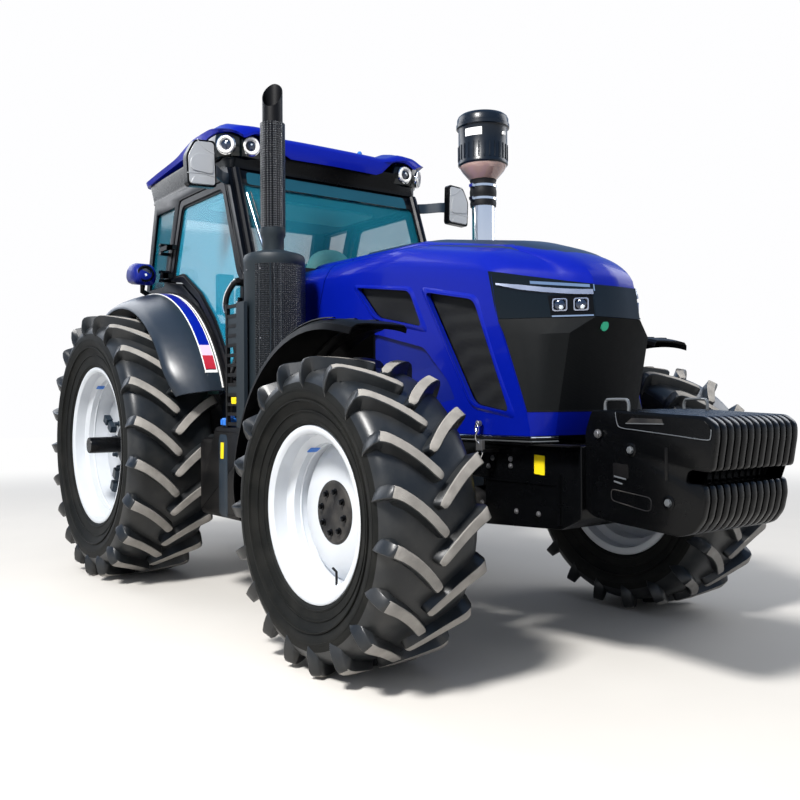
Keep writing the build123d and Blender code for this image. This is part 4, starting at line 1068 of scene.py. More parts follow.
def make_cab():
    refined("cab_frame", "chassis", 0.008, cab_black)
    work = Work()
    half, low, high = 0.715, 2.14, 2.7
    seal = [(-half, low), (half, low), (half, high), (-half, high)]
    loops = []
    for line, out in ((seal, 0.004), (inset(seal, -0.03), 0.004), (inset(seal, -0.03), -0.02),
                      (seal, -0.02)):
        loops.append([(screen_x(z) + out, y, z) for y, z in rounded(line, 0.05)])
    work.rings(loops, soft_black, closed=True)
    # wiper: its arm, blade and spindle
    arm = [(screen_x(2.17) + 0.03, -0.63, 2.165), (screen_x(2.3) + 0.028, -0.655, 2.3),
           (screen_x(2.62) + 0.022, -0.69, 2.62)]
    work.tube(arm, 0.009, chrome)
    work.tube([(x + 0.012, y + 0.022, z + 0.012) for x, y, z in arm], 0.005, black_gloss)
    work.tube([(screen_x(2.165) - 0.02, -0.63, 2.165), (screen_x(2.165) + 0.05, -0.63, 2.165)],
              0.022, black_gloss)
    for sign in (1, -1):
        y = sign * (CAB_HALF - 0.055)
        pillar = [(screen_x(2.11) + 0.012, y, 2.11), (screen_x(2.79) + 0.012, y, 2.79)]
        work.tube(pillar, 0.03, cab_black, 10)
    # dark band along the windshield's top
    shade = [(-0.665, 2.695), (0.665, 2.695), (0.655, 2.782), (-0.655, 2.782)]
    loops = [[(screen_x(z) + out, y, z) for y, z in rounded(shade, 0.02)]
             for out in (0.001, 0.006)]
    work.rings(loops, shade_band)
    make("cab_seals", work, "chassis", angle=30)

    work = Work()
    for sign in (1, -1):
        y = sign * (CAB_HALF + 0.002)
        outline = [(0.03, 2.14), (0.262, 2.735), (1.045, 2.735), (1.268, 2.12), (1.322, 2.055),
                   (1.322, 1.684), (1.218, 1.455), (1.214, 1.372), (1.05, 1.372), (0.966, 1.5),
                   (0.79, 1.745), (0.588, 1.93), (0.29, 2.1)]
        work.frame(rounded(outline, 0.03), rounded(inset(outline, 0.012), 0.024), y,
                   y - sign * 0.012, soft_black)
    make("door_surrounds", work, "chassis", bevel=0.002)

    glazing = Work()
    glazing.add(NODES["cab_glass"].data)
    bmesh.ops.remove_doubles(glazing.mesh, verts=glazing.mesh.verts, dist=1e-5)
    stand_in(new_object("cab_glazing", glazing.flat_mesh("cab_glazing")), "chassis", "cab_glass")


# forward, half width, side's upper edge, crown, lower edge
ROOF = [(-0.41, 0.6, 2.948, 2.962, 2.93), (-0.398, 0.68, 2.962, 2.982, 2.934),
        (-0.36, 0.8, 2.97, 3.0, 2.94), (-0.2, 0.818, 2.984, 3.03, 2.95),
        (0.2, 0.83, 3.008, 3.054, 2.974), (0.6, 0.85, 3.026, 3.064, 2.988),
        (0.9, 0.858, 3.026, 3.06, 2.984), (1.04, 0.856, 3.016, 3.05, 2.968),
        (1.12, 0.82, 3.008, 3.04, 2.922), (1.154, 0.77, 2.996, 3.022, 2.902),
        (1.168, 0.72, 2.975, 3.0, 2.892)]


def ease(t):
    t = min(max(t, 0.0), 1.0)
    return t * t * (3 - 2 * t)


def roof_top(x, y, half, side, crown):
    """Top of the roof with a raised hood over the lamps at each front corner."""
    across = abs(y) / half
    base = crown + (side - crown) * across ** 3
    along = ease((x - 0.28) / 0.42) * (1 - 0.35 * ease((x - 0.93) / 0.2))
    over = ease((abs(y) - 0.4) / 0.2) * (1 - 0.55 * ease((across - 0.86) / 0.14))
    return base + 0.088 * along * over


def make_roof():
    work = Work()
    rows = smooth_line(ROOF, 5)
    spread = [sin(pi / 2 * t / 18) for t in range(-18, 19)]
    upper, lower = [], []
    for x, half, side, crown, low in rows:
        line = [(x, half * s, roof_top(x, half * s, half, side, crown)) for s in spread]
        drop = []
        for (px, py, pz), s in zip(line, spread):
            over = ease((abs(py) - 0.36) / 0.2) * ease((x - 0.72) / 0.2)
            under = low + 0.01 * (1 - abs(s)) + (3.026 - low) * over
            drop.append((px - 0.012 * ease((x - 0.9) / 0.1), py * 0.985, min(under, pz - 0.014)))
        upper.append(line)
        lower.append(drop)
    loops = [up + low[::-1] for up, low in zip(upper, lower)]
    work.rings(loops, blue)
    make("roof_shell", work, "chassis", "cab_roof", angle=50)

    work = Work()
    brim = [(-0.385, -0.64), (-0.325, -0.785), (0.6, -0.815), (1.0, -0.82), (1.08, -0.745),
            (1.115, -0.58)]
    foot = [(-0.35, -0.7), (-0.33, -0.76), (0.6, -0.78), (1.04, -0.78), (1.075, -0.76),
            (1.08, -0.6)]
    loops = []
    for line, z in ((brim, 2.948), (brim, 2.93), (foot, CAB_TOP + 0.03), (foot, CAB_TOP)):
        whole = line + [(x, -y) for x, y in line[::-1]]
        loops.append([(x, y, z) for x, y in rounded(whole, 0.03)])
    work.rings(loops, black_gloss)
    for sign in (1, -1):
        work.prism(rounded([(-0.02, sign * 0.6), (-0.02, sign * 0.77), (-0.24, sign * 0.76),
                            (-0.27, sign * 0.62)], 0.03), 2.868, 2.89, headliner, axis="z")
        work.prism(rounded([(-0.07, sign * 0.65), (-0.07, sign * 0.74), (-0.2, sign * 0.74),
                            (-0.21, sign * 0.66)], 0.02), 2.862, 2.88, amber, axis="z")
    make("roof_underside", work, "chassis", bevel=0.004)

    work = Work()
    for sign in (1, -1):
        house = [(0.93, sign * 0.54), (1.112, sign * 0.54), (1.13, sign * 0.7),
                 (1.098, sign * 0.782), (1.02, sign * 0.84), (0.8, sign * 0.84),
                 (0.75, sign * 0.6)]
        loops = [[(x - back, y * (1 - back), z) for x, y in rounded(house, 0.03)]
                 for z, back in ((2.86, 0.05), (2.876, 0.018), (2.93, 0.0), (3.02, 0.0),
                                 (3.05, 0.02))]
        work.rings(loops, band)
        for place, facing in (((1.118, sign * 0.64, 2.948), (1.0, sign * 0.1, -0.1)),
                              ((1.072, sign * 0.796, 2.944), (0.72, sign * 0.66, -0.1))):
            axis = Vector(facing).normalized()
            work.lathe([(-0.02, 0.058), (0.014, 0.058), (0.02, 0.054), (0.02, 0.044),
                        (0.004, 0.034), (-0.02, 0.034)], place, white, axis, 32, closed=True)
            work.lathe([(-0.01, 0.036), (0.004, 0.034), (0.012, 0.02)], place, lamp_dark, axis, 32)
            # Small pale dot above the centre of the dark lens: a painted glint.
            work.lathe([(0.008, 0.008), (0.018, 0.006)],
                       Vector(place) + Vector((0, 0, 0.01)), lens, axis, 16)
            work.lathe([(-0.03, 0.066), (0.006, 0.066), (0.01, 0.06), (-0.03, 0.058)], place,
                       chrome, axis, 32, closed=True)
    make("roof_lamps_finished", work, "chassis", "roof_lamps", angle=35)

    work = Work()
    work.lathe([(3.03, 0.02), (3.048, 0.014), (3.052, 0.009), (3.066, 0.018), (3.078, 0.019),
                (3.09, 0.01)], (1.02, 0.3, 0.0), cap_blue, steps=20)
    louvre = Work()
    louvre.prism(rounded([(-0.07, -0.012), (0.07, -0.012), (0.05, 0.012), (-0.06, 0.012)], 0.008),
                 3.036, 3.052, deep_and_shaded_blue, axis="z")
    work.add(copies(louvre, 4, deep_and_shaded_blue, start=(0.93, -0.3, 0.0), step=(0.0, 0.16, 0.0)))
    make("roof_fittings", work, "chassis", angle=35, slot="paint_blue")


def make_mirrors():
    for side, y in SIDES.items():
        work = Work()
        arm = [(1.085, y * 0.79, 2.715), (1.11, y * 0.85, 2.72), (1.19, y * 0.93, 2.725),
               (1.205, y * 0.985, 2.725)]
        loops = []
        for x, out, z in smooth_line(arm, 5):
            loops.append([(x + 0.01, out, z - 0.036), (x + 0.01, out, z + 0.036),
                          (x - 0.01, out, z + 0.036), (x - 0.01, out, z - 0.036)])
        work.rings(loops, slate)
        head = [(y * 0.95, 2.6), (y * 1.145, 2.59), (y * 1.155, 2.78), (y * 1.1, 2.885),
                (y * 0.96, 2.895)]
        for line, near, far, surface in ((head, 1.204, 1.256, black_gloss),
                                         (inset(head, 0.012), 1.25, 1.261, mirror_shell)):
            work.prism(rounded(line, 0.025), near, far, surface, axis="x")
        belly = [(y * 0.975, 2.68), (y * 1.13, 2.69), (y * 1.13, 2.76), (y * 1.08, 2.8),
                 (y * 0.985, 2.8)]
        work.prism(rounded(belly, 0.03), 1.258, 1.267, mirror_shell, axis="x")
        foot = [(y * 0.985, 2.612), (y * 1.13, 2.606), (y * 1.105, 2.652), (y * 1.01, 2.66)]
        work.prism(rounded(foot, 0.012), 1.258, 1.266, mirror_shell, axis="x")
        for ridge in ([(y * 0.968, 2.81), (y * 1.03, 2.835), (y * 1.085, 2.885)],
                      [(y * 0.968, 2.665), (y * 1.05, 2.676), (y * 1.148, 2.668)]):
            work.tube([(1.26, p, q) for p, q in smooth_line(ridge, 5)], 0.004, mirror_shell, 8)
        work.prism(rounded(inset(head, 0.016), 0.02), 1.2005, 1.206, chrome, axis="x")
        make(f"mirror_{side}_finished", work, "chassis",
             *(["mirrors"] if side == "right" else []), bevel=0.003, slot="black_steel")


def make_inside():
    work = Work()
    ceiling = [(-0.15, -0.7), (1.02, -0.7), (1.02, 0.7), (-0.15, 0.7)]
    work.prism(rounded(ceiling, 0.06), 2.7, 2.738, headliner, axis="z")
    work.prism(panel(0.3, -0.6, 0.8, 0.6, 0.08), 2.68, 2.705, mint, axis="z")
    for sign in (1, -1):
        y = sign * (CAB_HALF - CAB_WALL)
        work.prism(rounded([(0.4, 1.3), (1.03, 1.3), (0.95, 1.52), (0.78, 1.76), (0.58, 1.94),
                            (0.3, 2.1), (-0.3, 2.1), (-0.31, 1.5)], 0.05), y, y - sign * 0.02,
                   mint)
        work.prism(rounded([(-0.3, 1.45), (0.4, 1.45), (0.5, 1.66), (0.4, 1.74), (-0.3, 1.74)],
                           0.05), sign * 0.34, sign * 0.6, mint)
        work.prism(rounded([(0.1, 1.74), (0.42, 1.74), (0.52, 1.8), (0.5, 1.84), (0.1, 1.82)],
                           0.02), sign * 0.36, sign * 0.47, black_steel)
    work.box((0.3, -0.52, 1.9), (0.36, -0.4, 2.2), black_steel)
    work.box((0.362, -0.515, 1.91), (0.366, -0.405, 2.19), slate)
    make("cab_lining", work, "chassis", bevel=0.004, slot="trim_mint")

    work = Work()
    column = Vector((cos(radians(62)), 0, sin(radians(62))))
    hub = Vector((0.86, 0, 2.15))
    across = Vector((column.z, 0, column.x))
    up = Vector((-column.x, 0, column.z))
    ring = [hub + (Vector((0, 1, 0)) * cos(a) + across * sin(a)) * 0.19 for a in turns(48)]
    work.tube(ring, 0.014, soft_black, 12, closed=True)
    for a in (0.5, pi - 0.5, -pi / 2):
        end = hub + (Vector((0, 1, 0)) * cos(a) + across * sin(a)) * 0.184
        work.tube([hub, end], [0.02, 0.012], soft_black)
    work.lathe([(-0.03, 0.035), (0.0, 0.052), (0.018, 0.046)], hub, soft_black, up, 28)
    end = Vector((1.05, 0, 1.78))
    work.tube([hub - up * 0.02, hub.lerp(end, 0.5) - up * 0.02, end], [0.028, 0.034, 0.05],
              soft_black, 16)
    body = [(1.0, 1.042), (1.168, 1.042), (1.188, 1.435), (1.298, 1.66), (1.298, 1.985),
            (1.07, 1.985), (0.965, 1.8), (1.04, 1.5)]
    work.prism(rounded(body, 0.03), -0.255, 0.255, black_steel)
    work.prism(rounded([(1.066, 1.972), (0.968, 1.806), (0.976, 1.8), (1.076, 1.966)], 0.004),
               -0.2, 0.2, slate)
    work.prism(rounded([(0.99, 1.5), (1.05, 1.5), (1.0, 1.8), (0.96, 1.8)], 0.02), -0.07, 0.07,
               mint)
    dome = []
    for k in range(9):
        a = pi / 2 * k / 8
        wide, tall = 0.19 * cos(a * 0.92), 2.15 + 0.17 * sin(a)
        dome.append([(1.075 + 0.115 * cos(t) * cos(a * 0.8), wide * sin(t), tall)
                     for t in turns(28)])
    work.rings([[(p[0], p[1], 1.97) for p in dome[0]]] + dome, mint)
    make("console_finished", work, "chassis", "console", bevel=0.004)
    seat_parts()


def cushion(name, outline, low, high, nodes=()):
    """Padded block: a rounded side outline swollen across its width."""
    work = Work()
    loops, steps, crown = [], 14, 0.01
    for k in range(steps + 1):
        t = k / steps
        edge = sin(pi * min(max(t, 0.02), 0.98))
        draw = 0.02 * (1 - edge ** 0.35)
        line = rounded(inset(outline, draw - crown * edge), 0.05, 5)
        loops.append([(a, low + (high - low) * t, b) for a, b in line])
    work.rings(loops, cloth)
    piece = make(name, work, "chassis", *nodes, angle=60, slot="seat_cloth")
    soft = piece.modifiers.new("soft", "SUBSURF")
    soft.levels = soft.render_levels = 1


def seat_parts():
    base = [(0.085, 1.515), (0.54, 1.515), (0.545, 1.59), (0.085, 1.59)]
    back = [(0.07, 1.64), (0.13, 1.64), (0.048, 2.165), (-0.02, 2.165)]
    cushion("seat_cushion", base, -0.235, 0.235, nodes=("seat",))
    cushion("seat_back", back, -0.225, 0.225)
    work = Work()
    work.prism(rounded([(0.12, 1.275), (0.42, 1.275), (0.38, 1.5), (0.16, 1.5)], 0.02), -0.17,
               0.17, black_steel)
    work.prism(panel(0.06, 1.495, 0.55, 1.51, 0.006), -0.24, 0.24, black_steel)
    for sign in (1, -1):
        work.prism(rounded([(0.08, 1.72), (0.36, 1.74), (0.36, 1.79), (0.08, 1.79)], 0.02),
                   sign * 0.255, sign * 0.31, soft_black)
    work.box((-0.02, -0.1, 1.6), (0.07, 0.1, 1.7), black_steel)
    make("seat_frame", work, "chassis", bevel=0.004)


make_doors()
make_cab()
make_roof()
make_mirrors()
make_inside()


# ---- rear fenders, lamps -----------------------------------------------------------
# distance from the centre plane, radius from the axle
FENDER = [(0.79, 1.02), (0.79, 1.118), (0.84, 1.1175), (0.9, 1.116), (0.98, 1.097),
          (1.05, 1.072), (1.105, 1.048), (1.14, 1.026), (1.154, 1.004), (1.156, 0.99),
          (1.144, 0.986), (1.138, 1.006), (1.122, 1.022), (1.044, 1.058), (0.97, 1.083),
          (0.896, 1.103), (0.803, 1.105), (0.803, 1.02)]


def swept(work, outline, first, last, centre, sign, surface, steps, shrink=0.0):
    """Carry a (distance from the centre plane, radius) outline round a wheel's centre."""
    loops = []
    for k in range(steps + 1):
        a = radians(first + (last - first) * k / steps)
        cut = 1.0
        if shrink:
            end = min(k, steps - k) / steps * (last - first)
            cut = 1 - shrink * max(0.0, 1 - end / 14.0) ** 2
        edge = outline[0][0]
        loops.append([(centre[0] + r * cos(a), sign * (edge + (y - edge) * cut),
                       centre[1] + r * sin(a)) for y, r in outline])
    work.rings(loops, surface)


def make_fenders():
    work = Work()
    for sign in (1, -1):
        centre = (0.0, REAR.z)
        swept(work, FENDER, 20, 152, centre, sign, fender_plastic, 56, 0.16)
        rib = [(0.786, 1.112), (0.786, 1.132), (0.808, 1.134), (0.812, 1.112)]
        swept(work, rib, 20.5, 151, centre, sign, soft_black, 56)
        pin = [(0.812, 1.11), (0.812, 1.1215), (0.822, 1.1212), (0.822, 1.11)]
        swept(work, pin, 21, 150, centre, sign, white, 56)
        stripe = [(0.838, 1.108), (0.838, 1.1205), (0.912, 1.1165), (0.912, 1.104)]
        for first, last, surface in ((38, 150, blue), (33.5, 38, stripe_pale),
                                     (28, 33.5, stripe_red)):
            swept(work, stripe, first, last, centre, sign, surface, 40)
        for low, high, r in ((0.832, 0.838, 1.1212), (0.912, 0.918, 1.1172)):
            edge = [(low, 1.1), (low, r), (high, r - 0.0008), (high, 1.1)]
            swept(work, edge, 27, 150, centre, sign, white, 56)
        swept(work, [(0.832, 1.1), (0.832, 1.1208), (0.918, 1.1168), (0.918, 1.1)], 26.6,
              27.6, centre, sign, white, 3)
    make("fenders_finished", work, "chassis", "fenders", angle=34)

    work = Work()
    for sign in (1, -1):
        centre = (0.0, REAR.z)
        swept(work, [(0.84, 1.034), (1.07, 1.034), (1.07, 1.095), (0.84, 1.095)], 152.05,
              153.5, centre, sign, black_gloss, 4)
        for low, high, surface in ((0.85, 0.93, red), (0.936, 0.99, amber), (0.996, 1.06, lens)):
            swept(work, [(low, 1.042), (high, 1.042), (high, 1.088), (low, 1.088)], 153.4, 153.95,
                  centre, sign, surface, 3)
    make("tail_lamps_finished", work, "chassis", "tail_lamps", bevel=0.003)

    work = Work()
    for sign in (1, -1):
        y = sign * 0.93
        work.tube([(-0.1, sign * 0.86, 2.05), (-0.11, y, 2.09), (-0.1, y, 2.15)], 0.02,
                  black_gloss)
        pod = [(-0.205, 2.15), (-0.03, 2.125), (0.015, 2.17), (0.005, 2.25), (-0.07, 2.3),
               (-0.19, 2.285), (-0.23, 2.215)]
        work.layered(rounded(pod, 0.04, 5), [
            (y + sign * out, draw) for out, draw in (
                (-0.075, 0.03), (-0.062, 0.01), (-0.04, 0.0), (0.06, 0.0), (0.082, 0.01),
                (0.094, 0.03))], deep_and_shaded_blue)
        work.lathe([(-0.03, 0.062), (0.016, 0.062), (0.024, 0.054), (0.024, 0.048), (0.01, 0.044)],
                   (-0.01, y + sign * 0.015, 2.21), black_gloss, (1, sign * 0.15, -0.05), 32)
        work.lathe([(0.008, 0.045), (0.016, 0.038)],
                   (-0.01, y + sign * 0.015, 2.21), lamp_dark, (1, sign * 0.15, -0.05), 32)
        # Small pale dot below the centre of the dark lens: a painted glint.
        work.lathe([(0.012, 0.014), (0.022, 0.01)],
                   (-0.01, y + sign * 0.015, 2.2), lens, (1, sign * 0.15, -0.05), 16)
        work.lathe([(0, 0.042), (0.012, 0.042), (0.018, 0.03)],
                   (-0.222, y + sign * 0.02, 2.22), red, (-1, 0, 0), 24)
    make("fender_lamps", work, "chassis", angle=35, slot="black_steel")


make_fenders()


# ---- exhaust and intake -----------------------------------------------------------------
CAN, CAN_R, PIPE_X, PIPE_R, SHIELD_R = (1.655, -0.76), 0.186, 1.641, 0.062, 0.076


def arc_band(work, centre, section, first, last, steps, surface):
    """Strip of a (radius, up) section carried between two angles in degrees."""
    loops = []
    for k in range(steps + 1):
        a = radians(first + (last - first) * k / steps)
        loops.append([(centre[0] + r * cos(a), centre[1] + r * sin(a), z) for r, z in section])
    work.rings(loops, surface)


def make_exhaust():
    work = Work()
    place = (CAN[0], CAN[1], 0.0)
    outline = [(1.18, CAN_R - 0.02), (1.2, CAN_R - 0.002), (2.07, CAN_R - 0.002),
               (2.074, CAN_R), (2.112, CAN_R), (2.126, CAN_R - 0.006), (2.136, CAN_R - 0.022),
               (2.152, 0.1), (2.158, 0.086)]
    work.lathe(outline, place, stack_black, steps=64)
    arc_band(work, CAN, [(CAN_R + 0.0015, 1.24), (CAN_R + 0.0015, 2.062), (CAN_R - 0.006, 2.062),
                         (CAN_R - 0.006, 1.24)], -66, 84, 24, shield)
    a = radians(-36)
    seam = [(CAN[0] + (CAN_R + 0.003) * cos(a), CAN[1] + (CAN_R + 0.003) * sin(a), z)
            for z in (1.245, 2.06)]
    work.tube(seam, 0.004, stack_black, 8)
    rivet = Work()
    rivet.lathe([(-0.004, 0.006), (0.003, 0.005)], (CAN_R, 0, 0), chrome, (1, 0, 0), 10)
    for z in (1.62, 2.03):
        work.add(copies(rivet, 3, steel, start=(CAN[0], CAN[1], z), lean=(0, 0, -2.2),
                        turn=(0, 0, 0.62)))
    pipe = (PIPE_X, CAN[1], 0.0)
    work.lathe([(2.15, PIPE_R + 0.004), (2.24, PIPE_R + 0.004), (2.256, SHIELD_R),
                (2.3, SHIELD_R)], pipe, stack_black, steps=48)
    work.lathe([(2.302, SHIELD_R - 0.012), (2.302, SHIELD_R), (2.938, SHIELD_R),
                (2.938, SHIELD_R - 0.012)], pipe, hammered, steps=48, closed=True)
    work.lathe([(2.9, PIPE_R + 0.003), (2.944, PIPE_R + 0.003), (2.944, PIPE_R - 0.004),
                (2.9, PIPE_R - 0.004)], pipe, black_steel, steps=48, closed=True)
    loops = []
    for radius, cut in ((PIPE_R, False), (PIPE_R, True), (PIPE_R - 0.006, True),
                        (PIPE_R - 0.006, False)):
        loops.append([(PIPE_X + radius * cos(a), CAN[1] + radius * sin(a),
                       3.118 - 0.088 * cos(a + 0.75) if cut else 2.93) for a in turns(48)])
    work.rings(loops, pipe_black, closed=True)
    elbow = smooth_line([(2.0, -0.27, 1.43), (2.0, -0.52, 1.43), (1.985, -0.68, 1.43),
                         (1.9, -0.755, 1.43), (1.76, -0.76, 1.43)], 5)
    work.tube(elbow, 0.046, stack_black, 20)
    work.box((1.6, -0.64, 1.23), (1.8, -0.27, 1.33), black_steel)
    make("exhaust_finished", work, "chassis", "exhaust", angle=32)


def make_intake():
    x, y = 2.02, 0.62
    work = Work()
    place = (x, y, 0.0)
    work.lathe([(1.33, 0.078), (1.6, 0.078)], place, intake, steps=40)
    work.lathe([(1.58, 0.074), (1.58, 0.076), (2.56, 0.076), (2.56, 0.07)], place, chrome,
               steps=40, closed=True)
    hose = [(2.54, 0.086), (2.56, 0.088), (2.575, 0.086), (2.6, 0.085),
            (2.615, 0.089), (2.64, 0.09), (2.66, 0.086), (2.7, 0.084), (2.715, 0.09)]
    work.lathe(hose, place, soft_black, steps=40)
    for z in (2.586, 2.672):
        work.lathe([(z - 0.008, 0.08), (z - 0.008, 0.0895), (z + 0.008, 0.0895),
                    (z + 0.008, 0.08)], place, chrome, steps=40, closed=True)
        work.box((x - 0.02, y - 0.108, z - 0.01), (x + 0.015, y - 0.084, z + 0.01), chrome)
    work.lathe([(2.715, 0.084), (2.73, 0.1), (2.775, 0.14), (2.8, 0.155), (2.812, 0.158)], place,
               bowl, steps=48)
    work.lathe([(2.73, 0.05), (2.805, 0.11)], place, cap_blue, steps=24)
    drum = [(2.808, 0.16), (2.816, 0.166), (2.83, 0.166), (2.836, 0.163),
            (3.045, 0.163), (3.055, 0.166), (3.06, 0.177), (3.082, 0.177), (3.086, 0.172),
            (3.118, 0.171), (3.134, 0.164), (3.145, 0.15)]
    work.lathe(drum, place, intake, steps=64)
    fin = Work()
    fin.box((0.16, -0.004, 2.842), (0.168, 0.004, 2.94), intake)
    work.add(copies(fin, 28, intake, start=place, turn=(0, 0, tau / 28)))
    arc_band(work, (x, y), [(0.1645, 2.98), (0.1645, 3.03), (0.16, 3.03), (0.16, 2.98)],
             -86, -44, 8, white)
    a = radians(13)
    work.lathe([(0.0, 0.014), (0.014, 0.014)], (x + 0.16 * cos(a), y + 0.16 * sin(a), 3.0), white,
               (cos(a), sin(a), 0), 16)
    work.tube([(x, y, 1.4), (x, 0.27, 1.4)], 0.07, intake, 32)
    make("air_cleaner_finished", work, "chassis", "air_cleaner", angle=32)


make_exhaust()
make_intake()


# ---- front weights -----------------------------------------------------------------
WEIGHTS, WEIGHT_PITCH, WEIGHT_T = 13, 0.0476, 0.038
WEIGHT = [(3.718, 0.744), (3.766, 0.716), (3.865, 0.703), (4.115, 0.685), (4.218, 0.678),
          (4.282, 0.7), (4.322, 0.753), (4.34, 0.834), (4.331, 0.9), (4.246, 0.898),
          (4.262, 0.955), (4.364, 0.948), (4.386, 1.084), (4.384, 1.138), (4.338, 1.172),
          (3.9, 1.194), (3.756, 1.196), (3.718, 1.102)]


def make_weights():
    span = WEIGHT_PITCH * (WEIGHTS - 1) / 2
    outline = rounded(WEIGHT, 0.022, 3)
    core = Work()
    core.prism(inset(outline, 0.022), -span, span, black_steel)
    rib = Work()
    half = WEIGHT_T / 2
    rib.layered(outline, [(-half, 0.006), (-half + 0.0018, 0.0018), (-half + 0.006, 0.0),
                          (half - 0.006, 0.0), (half - 0.0018, 0.0018), (half, 0.006)],
                black_gloss)
    core.add(copies(rib, WEIGHTS, black_gloss, start=(0, -span, 0), step=(0, WEIGHT_PITCH, 0)))
    for sign in (1, -1):
        face = sign * (span + half)
        proud, deep = sign * 0.005, sign * 0.001

        def plate(points, surface, thick=proud):
            core.prism(points, face - deep, face + thick, surface)

        upper = [(3.893, 1.18), (3.92, 1.118), (4.35, 1.078), (4.368, 1.09), (4.366, 1.13),
                 (4.33, 1.158), (3.905, 1.182)]
        plate(rounded(upper, 0.014), black_gloss)
        # Thin bright tube along the upper plate's edge: a painted highlight line.
        ridge = smooth_line([(3.896, 1.186), (3.904, 1.14), (3.926, 1.119), (4.02, 1.109),
                             (4.2, 1.092), (4.345, 1.078), (4.366, 1.088), (4.37, 1.12)], 4)
        core.tube([(a, face + proud * 0.8, b) for a, b in ridge], 0.0022, wear_and_painted_highlight, 8)
        # Thin bright strip under the slot: a painted highlight.
        core.box((3.955, face, 1.136), (4.15, face + proud * 2, 1.14), wear_and_painted_highlight)
        plate([(3.955, 1.14), (4.146, 1.137), (4.14, 1.158), (3.985, 1.162)], cast, proud * 1.3)
        for a, b in ((3.974, 1.024), (4.166, 0.814)):
            core.lathe([(-0.004, 0.03), (0.003, 0.03), (0.005, 0.026), (0.005, 0.018),
                        (-0.004, 0.018)], (a, face, b), black_gloss, (0, sign, 0), 28, closed=True)
            core.bolt((a, face, b), (0, sign, 0), 0.015, wear_and_painted_highlight)
        # Two short bright lines at the pocket: painted highlight lines.
        for b, end in ((0.906, 3.95), (0.884, 3.93)):
            core.tube([(3.885, face + deep, b), (end, face + deep, b - 0.01)], 0.004, wear_and_painted_highlight, 8)
        plate(rounded([(3.878, 0.906), (3.962, 0.898), (3.962, 0.958), (3.878, 0.966)], 0.01),
              black_steel, deep * 1.5)
        plate(rounded([(4.15, 0.905), (4.164, 0.904), (4.164, 1.04), (4.15, 1.042)], 0.005),
              black_steel, deep * 2.5)
        lip = rounded([(3.868, 0.85), (3.868, 0.8), (4.06, 0.768), (4.08, 0.78), (4.08, 0.826)],
                      0.02)
        core.tube([(a, face + deep, b) for a, b in lip], 0.0024, cast, 8, closed=True)
        y = sign * span
        hoop = smooth_line([(3.822, y, 1.18), (3.82, y, 1.215), (3.828, y, 1.236),
                            (3.846, y, 1.241), (3.925, y, 1.241), (3.943, y, 1.236),
                            (3.95, y, 1.215), (3.948, y, 1.18)], 5)
        core.tube(hoop, 0.007, wear_and_painted_highlight, 12)
    rod = 1.09
    core.tube([(3.8, -span - 0.03, rod), (3.8, span + 0.03, rod)], 0.012, steel, 12)
    for sign in (1, -1):
        core.bolt((3.8, sign * (span + 0.028), rod), (0, sign, 0), 0.014, steel)
    make("weights_finished", core, "chassis", "weights", angle=30)


make_weights()


# ---- front mudguards ------------------------------------------------------------------
GUARD = [(0.905, 0.862), (0.905, 0.884), (0.925, 0.898), (1.0, 0.9), (1.16, 0.9), (1.215, 0.894),
         (1.245, 0.876), (1.255, 0.846), (1.249, 0.846), (1.239, 0.873), (1.212, 0.888),
         (1.16, 0.894), (1.0, 0.894), (0.928, 0.892), (0.911, 0.881), (0.911, 0.862)]


def make_guards():
    for side, sign in SIDES.items():
        work = Work()
        centre = (WHEELBASE, FRONT.z)
        swept(work, GUARD, 74, 188, centre, sign, guard, 56, 0.1)
        for low in (0.955, 1.075, 1.195):
            rib = [(low, 0.8985), (low + 0.006, 0.9045), (low + 0.018, 0.9045),
                   (low + 0.024, 0.8985)]
            swept(work, rib, 84, 182, centre, sign, guard, 48)
        stay = [(0.786, 0.88), (0.786, 0.892), (0.97, 0.892), (0.97, 0.88)]
        swept(work, stay, 97, 125, centre, sign, black_steel, 12)
        bracket = [(WHEELBASE - 0.175, FRONT.z + 0.062), (WHEELBASE - 0.24, FRONT.z + 0.062),
                   (WHEELBASE - 0.43, FRONT.z + 0.6), (WHEELBASE - 0.43, FRONT.z + 0.772),
                   (WHEELBASE - 0.18, FRONT.z + 0.864)]
        work.prism(rounded(bracket, 0.02), sign * 0.786, sign * 0.798, black_steel)
        for a in (101, 112, 121):
            angle = radians(a)
            away = Vector((cos(angle), 0, sin(angle)))
            work.bolt(Vector((WHEELBASE, sign * 0.945, FRONT.z)) + away * 0.899, away, 0.01, steel)
        for x, z in ((WHEELBASE - 0.215, FRONT.z + 0.085), (WHEELBASE - 0.33, FRONT.z + 0.5)):
            work.bolt((x, sign * 0.786, z), (0, -sign, 0), 0.012, steel)
        make(f"mudguard_front_{side}_finished", work, f"knuckle_{side}",
             f"mudguard_front_{side}", angle=30)


make_guards()


# ---- cowl, frame and running gear -------------------------------------------------------
def make_cowl():
    work = hood_shell(1.376, 0.014)
    keep = [(1.38, 1.4), (1.674, 1.554), (1.678, 1.772), (1.794, 2.064), (1.895, 2.3)]
    ahead = side_cutter(keep + [(4.0, 2.3), (4.0, 0.8), (1.2, 0.8), (1.2, 1.39)], -0.6, 0.6)
    make("cowl_finished", work, "chassis", "cowl", angle=24, cutters=[ahead])


make_cowl()
refined("front_frame", "chassis", 0.006, black_gloss)
refined("front_axle_beam", "chassis", 0.008, cast)
refined("engine", "chassis", 0.012, cast)
refined("gearbox", "chassis", 0.012, cast)
for side in SIDES:
    refined(f"knuckle_{side}", f"knuckle_{side}", 0.006, cast)
refined("tie_rod", "tie_rod", 0.004, black_steel)


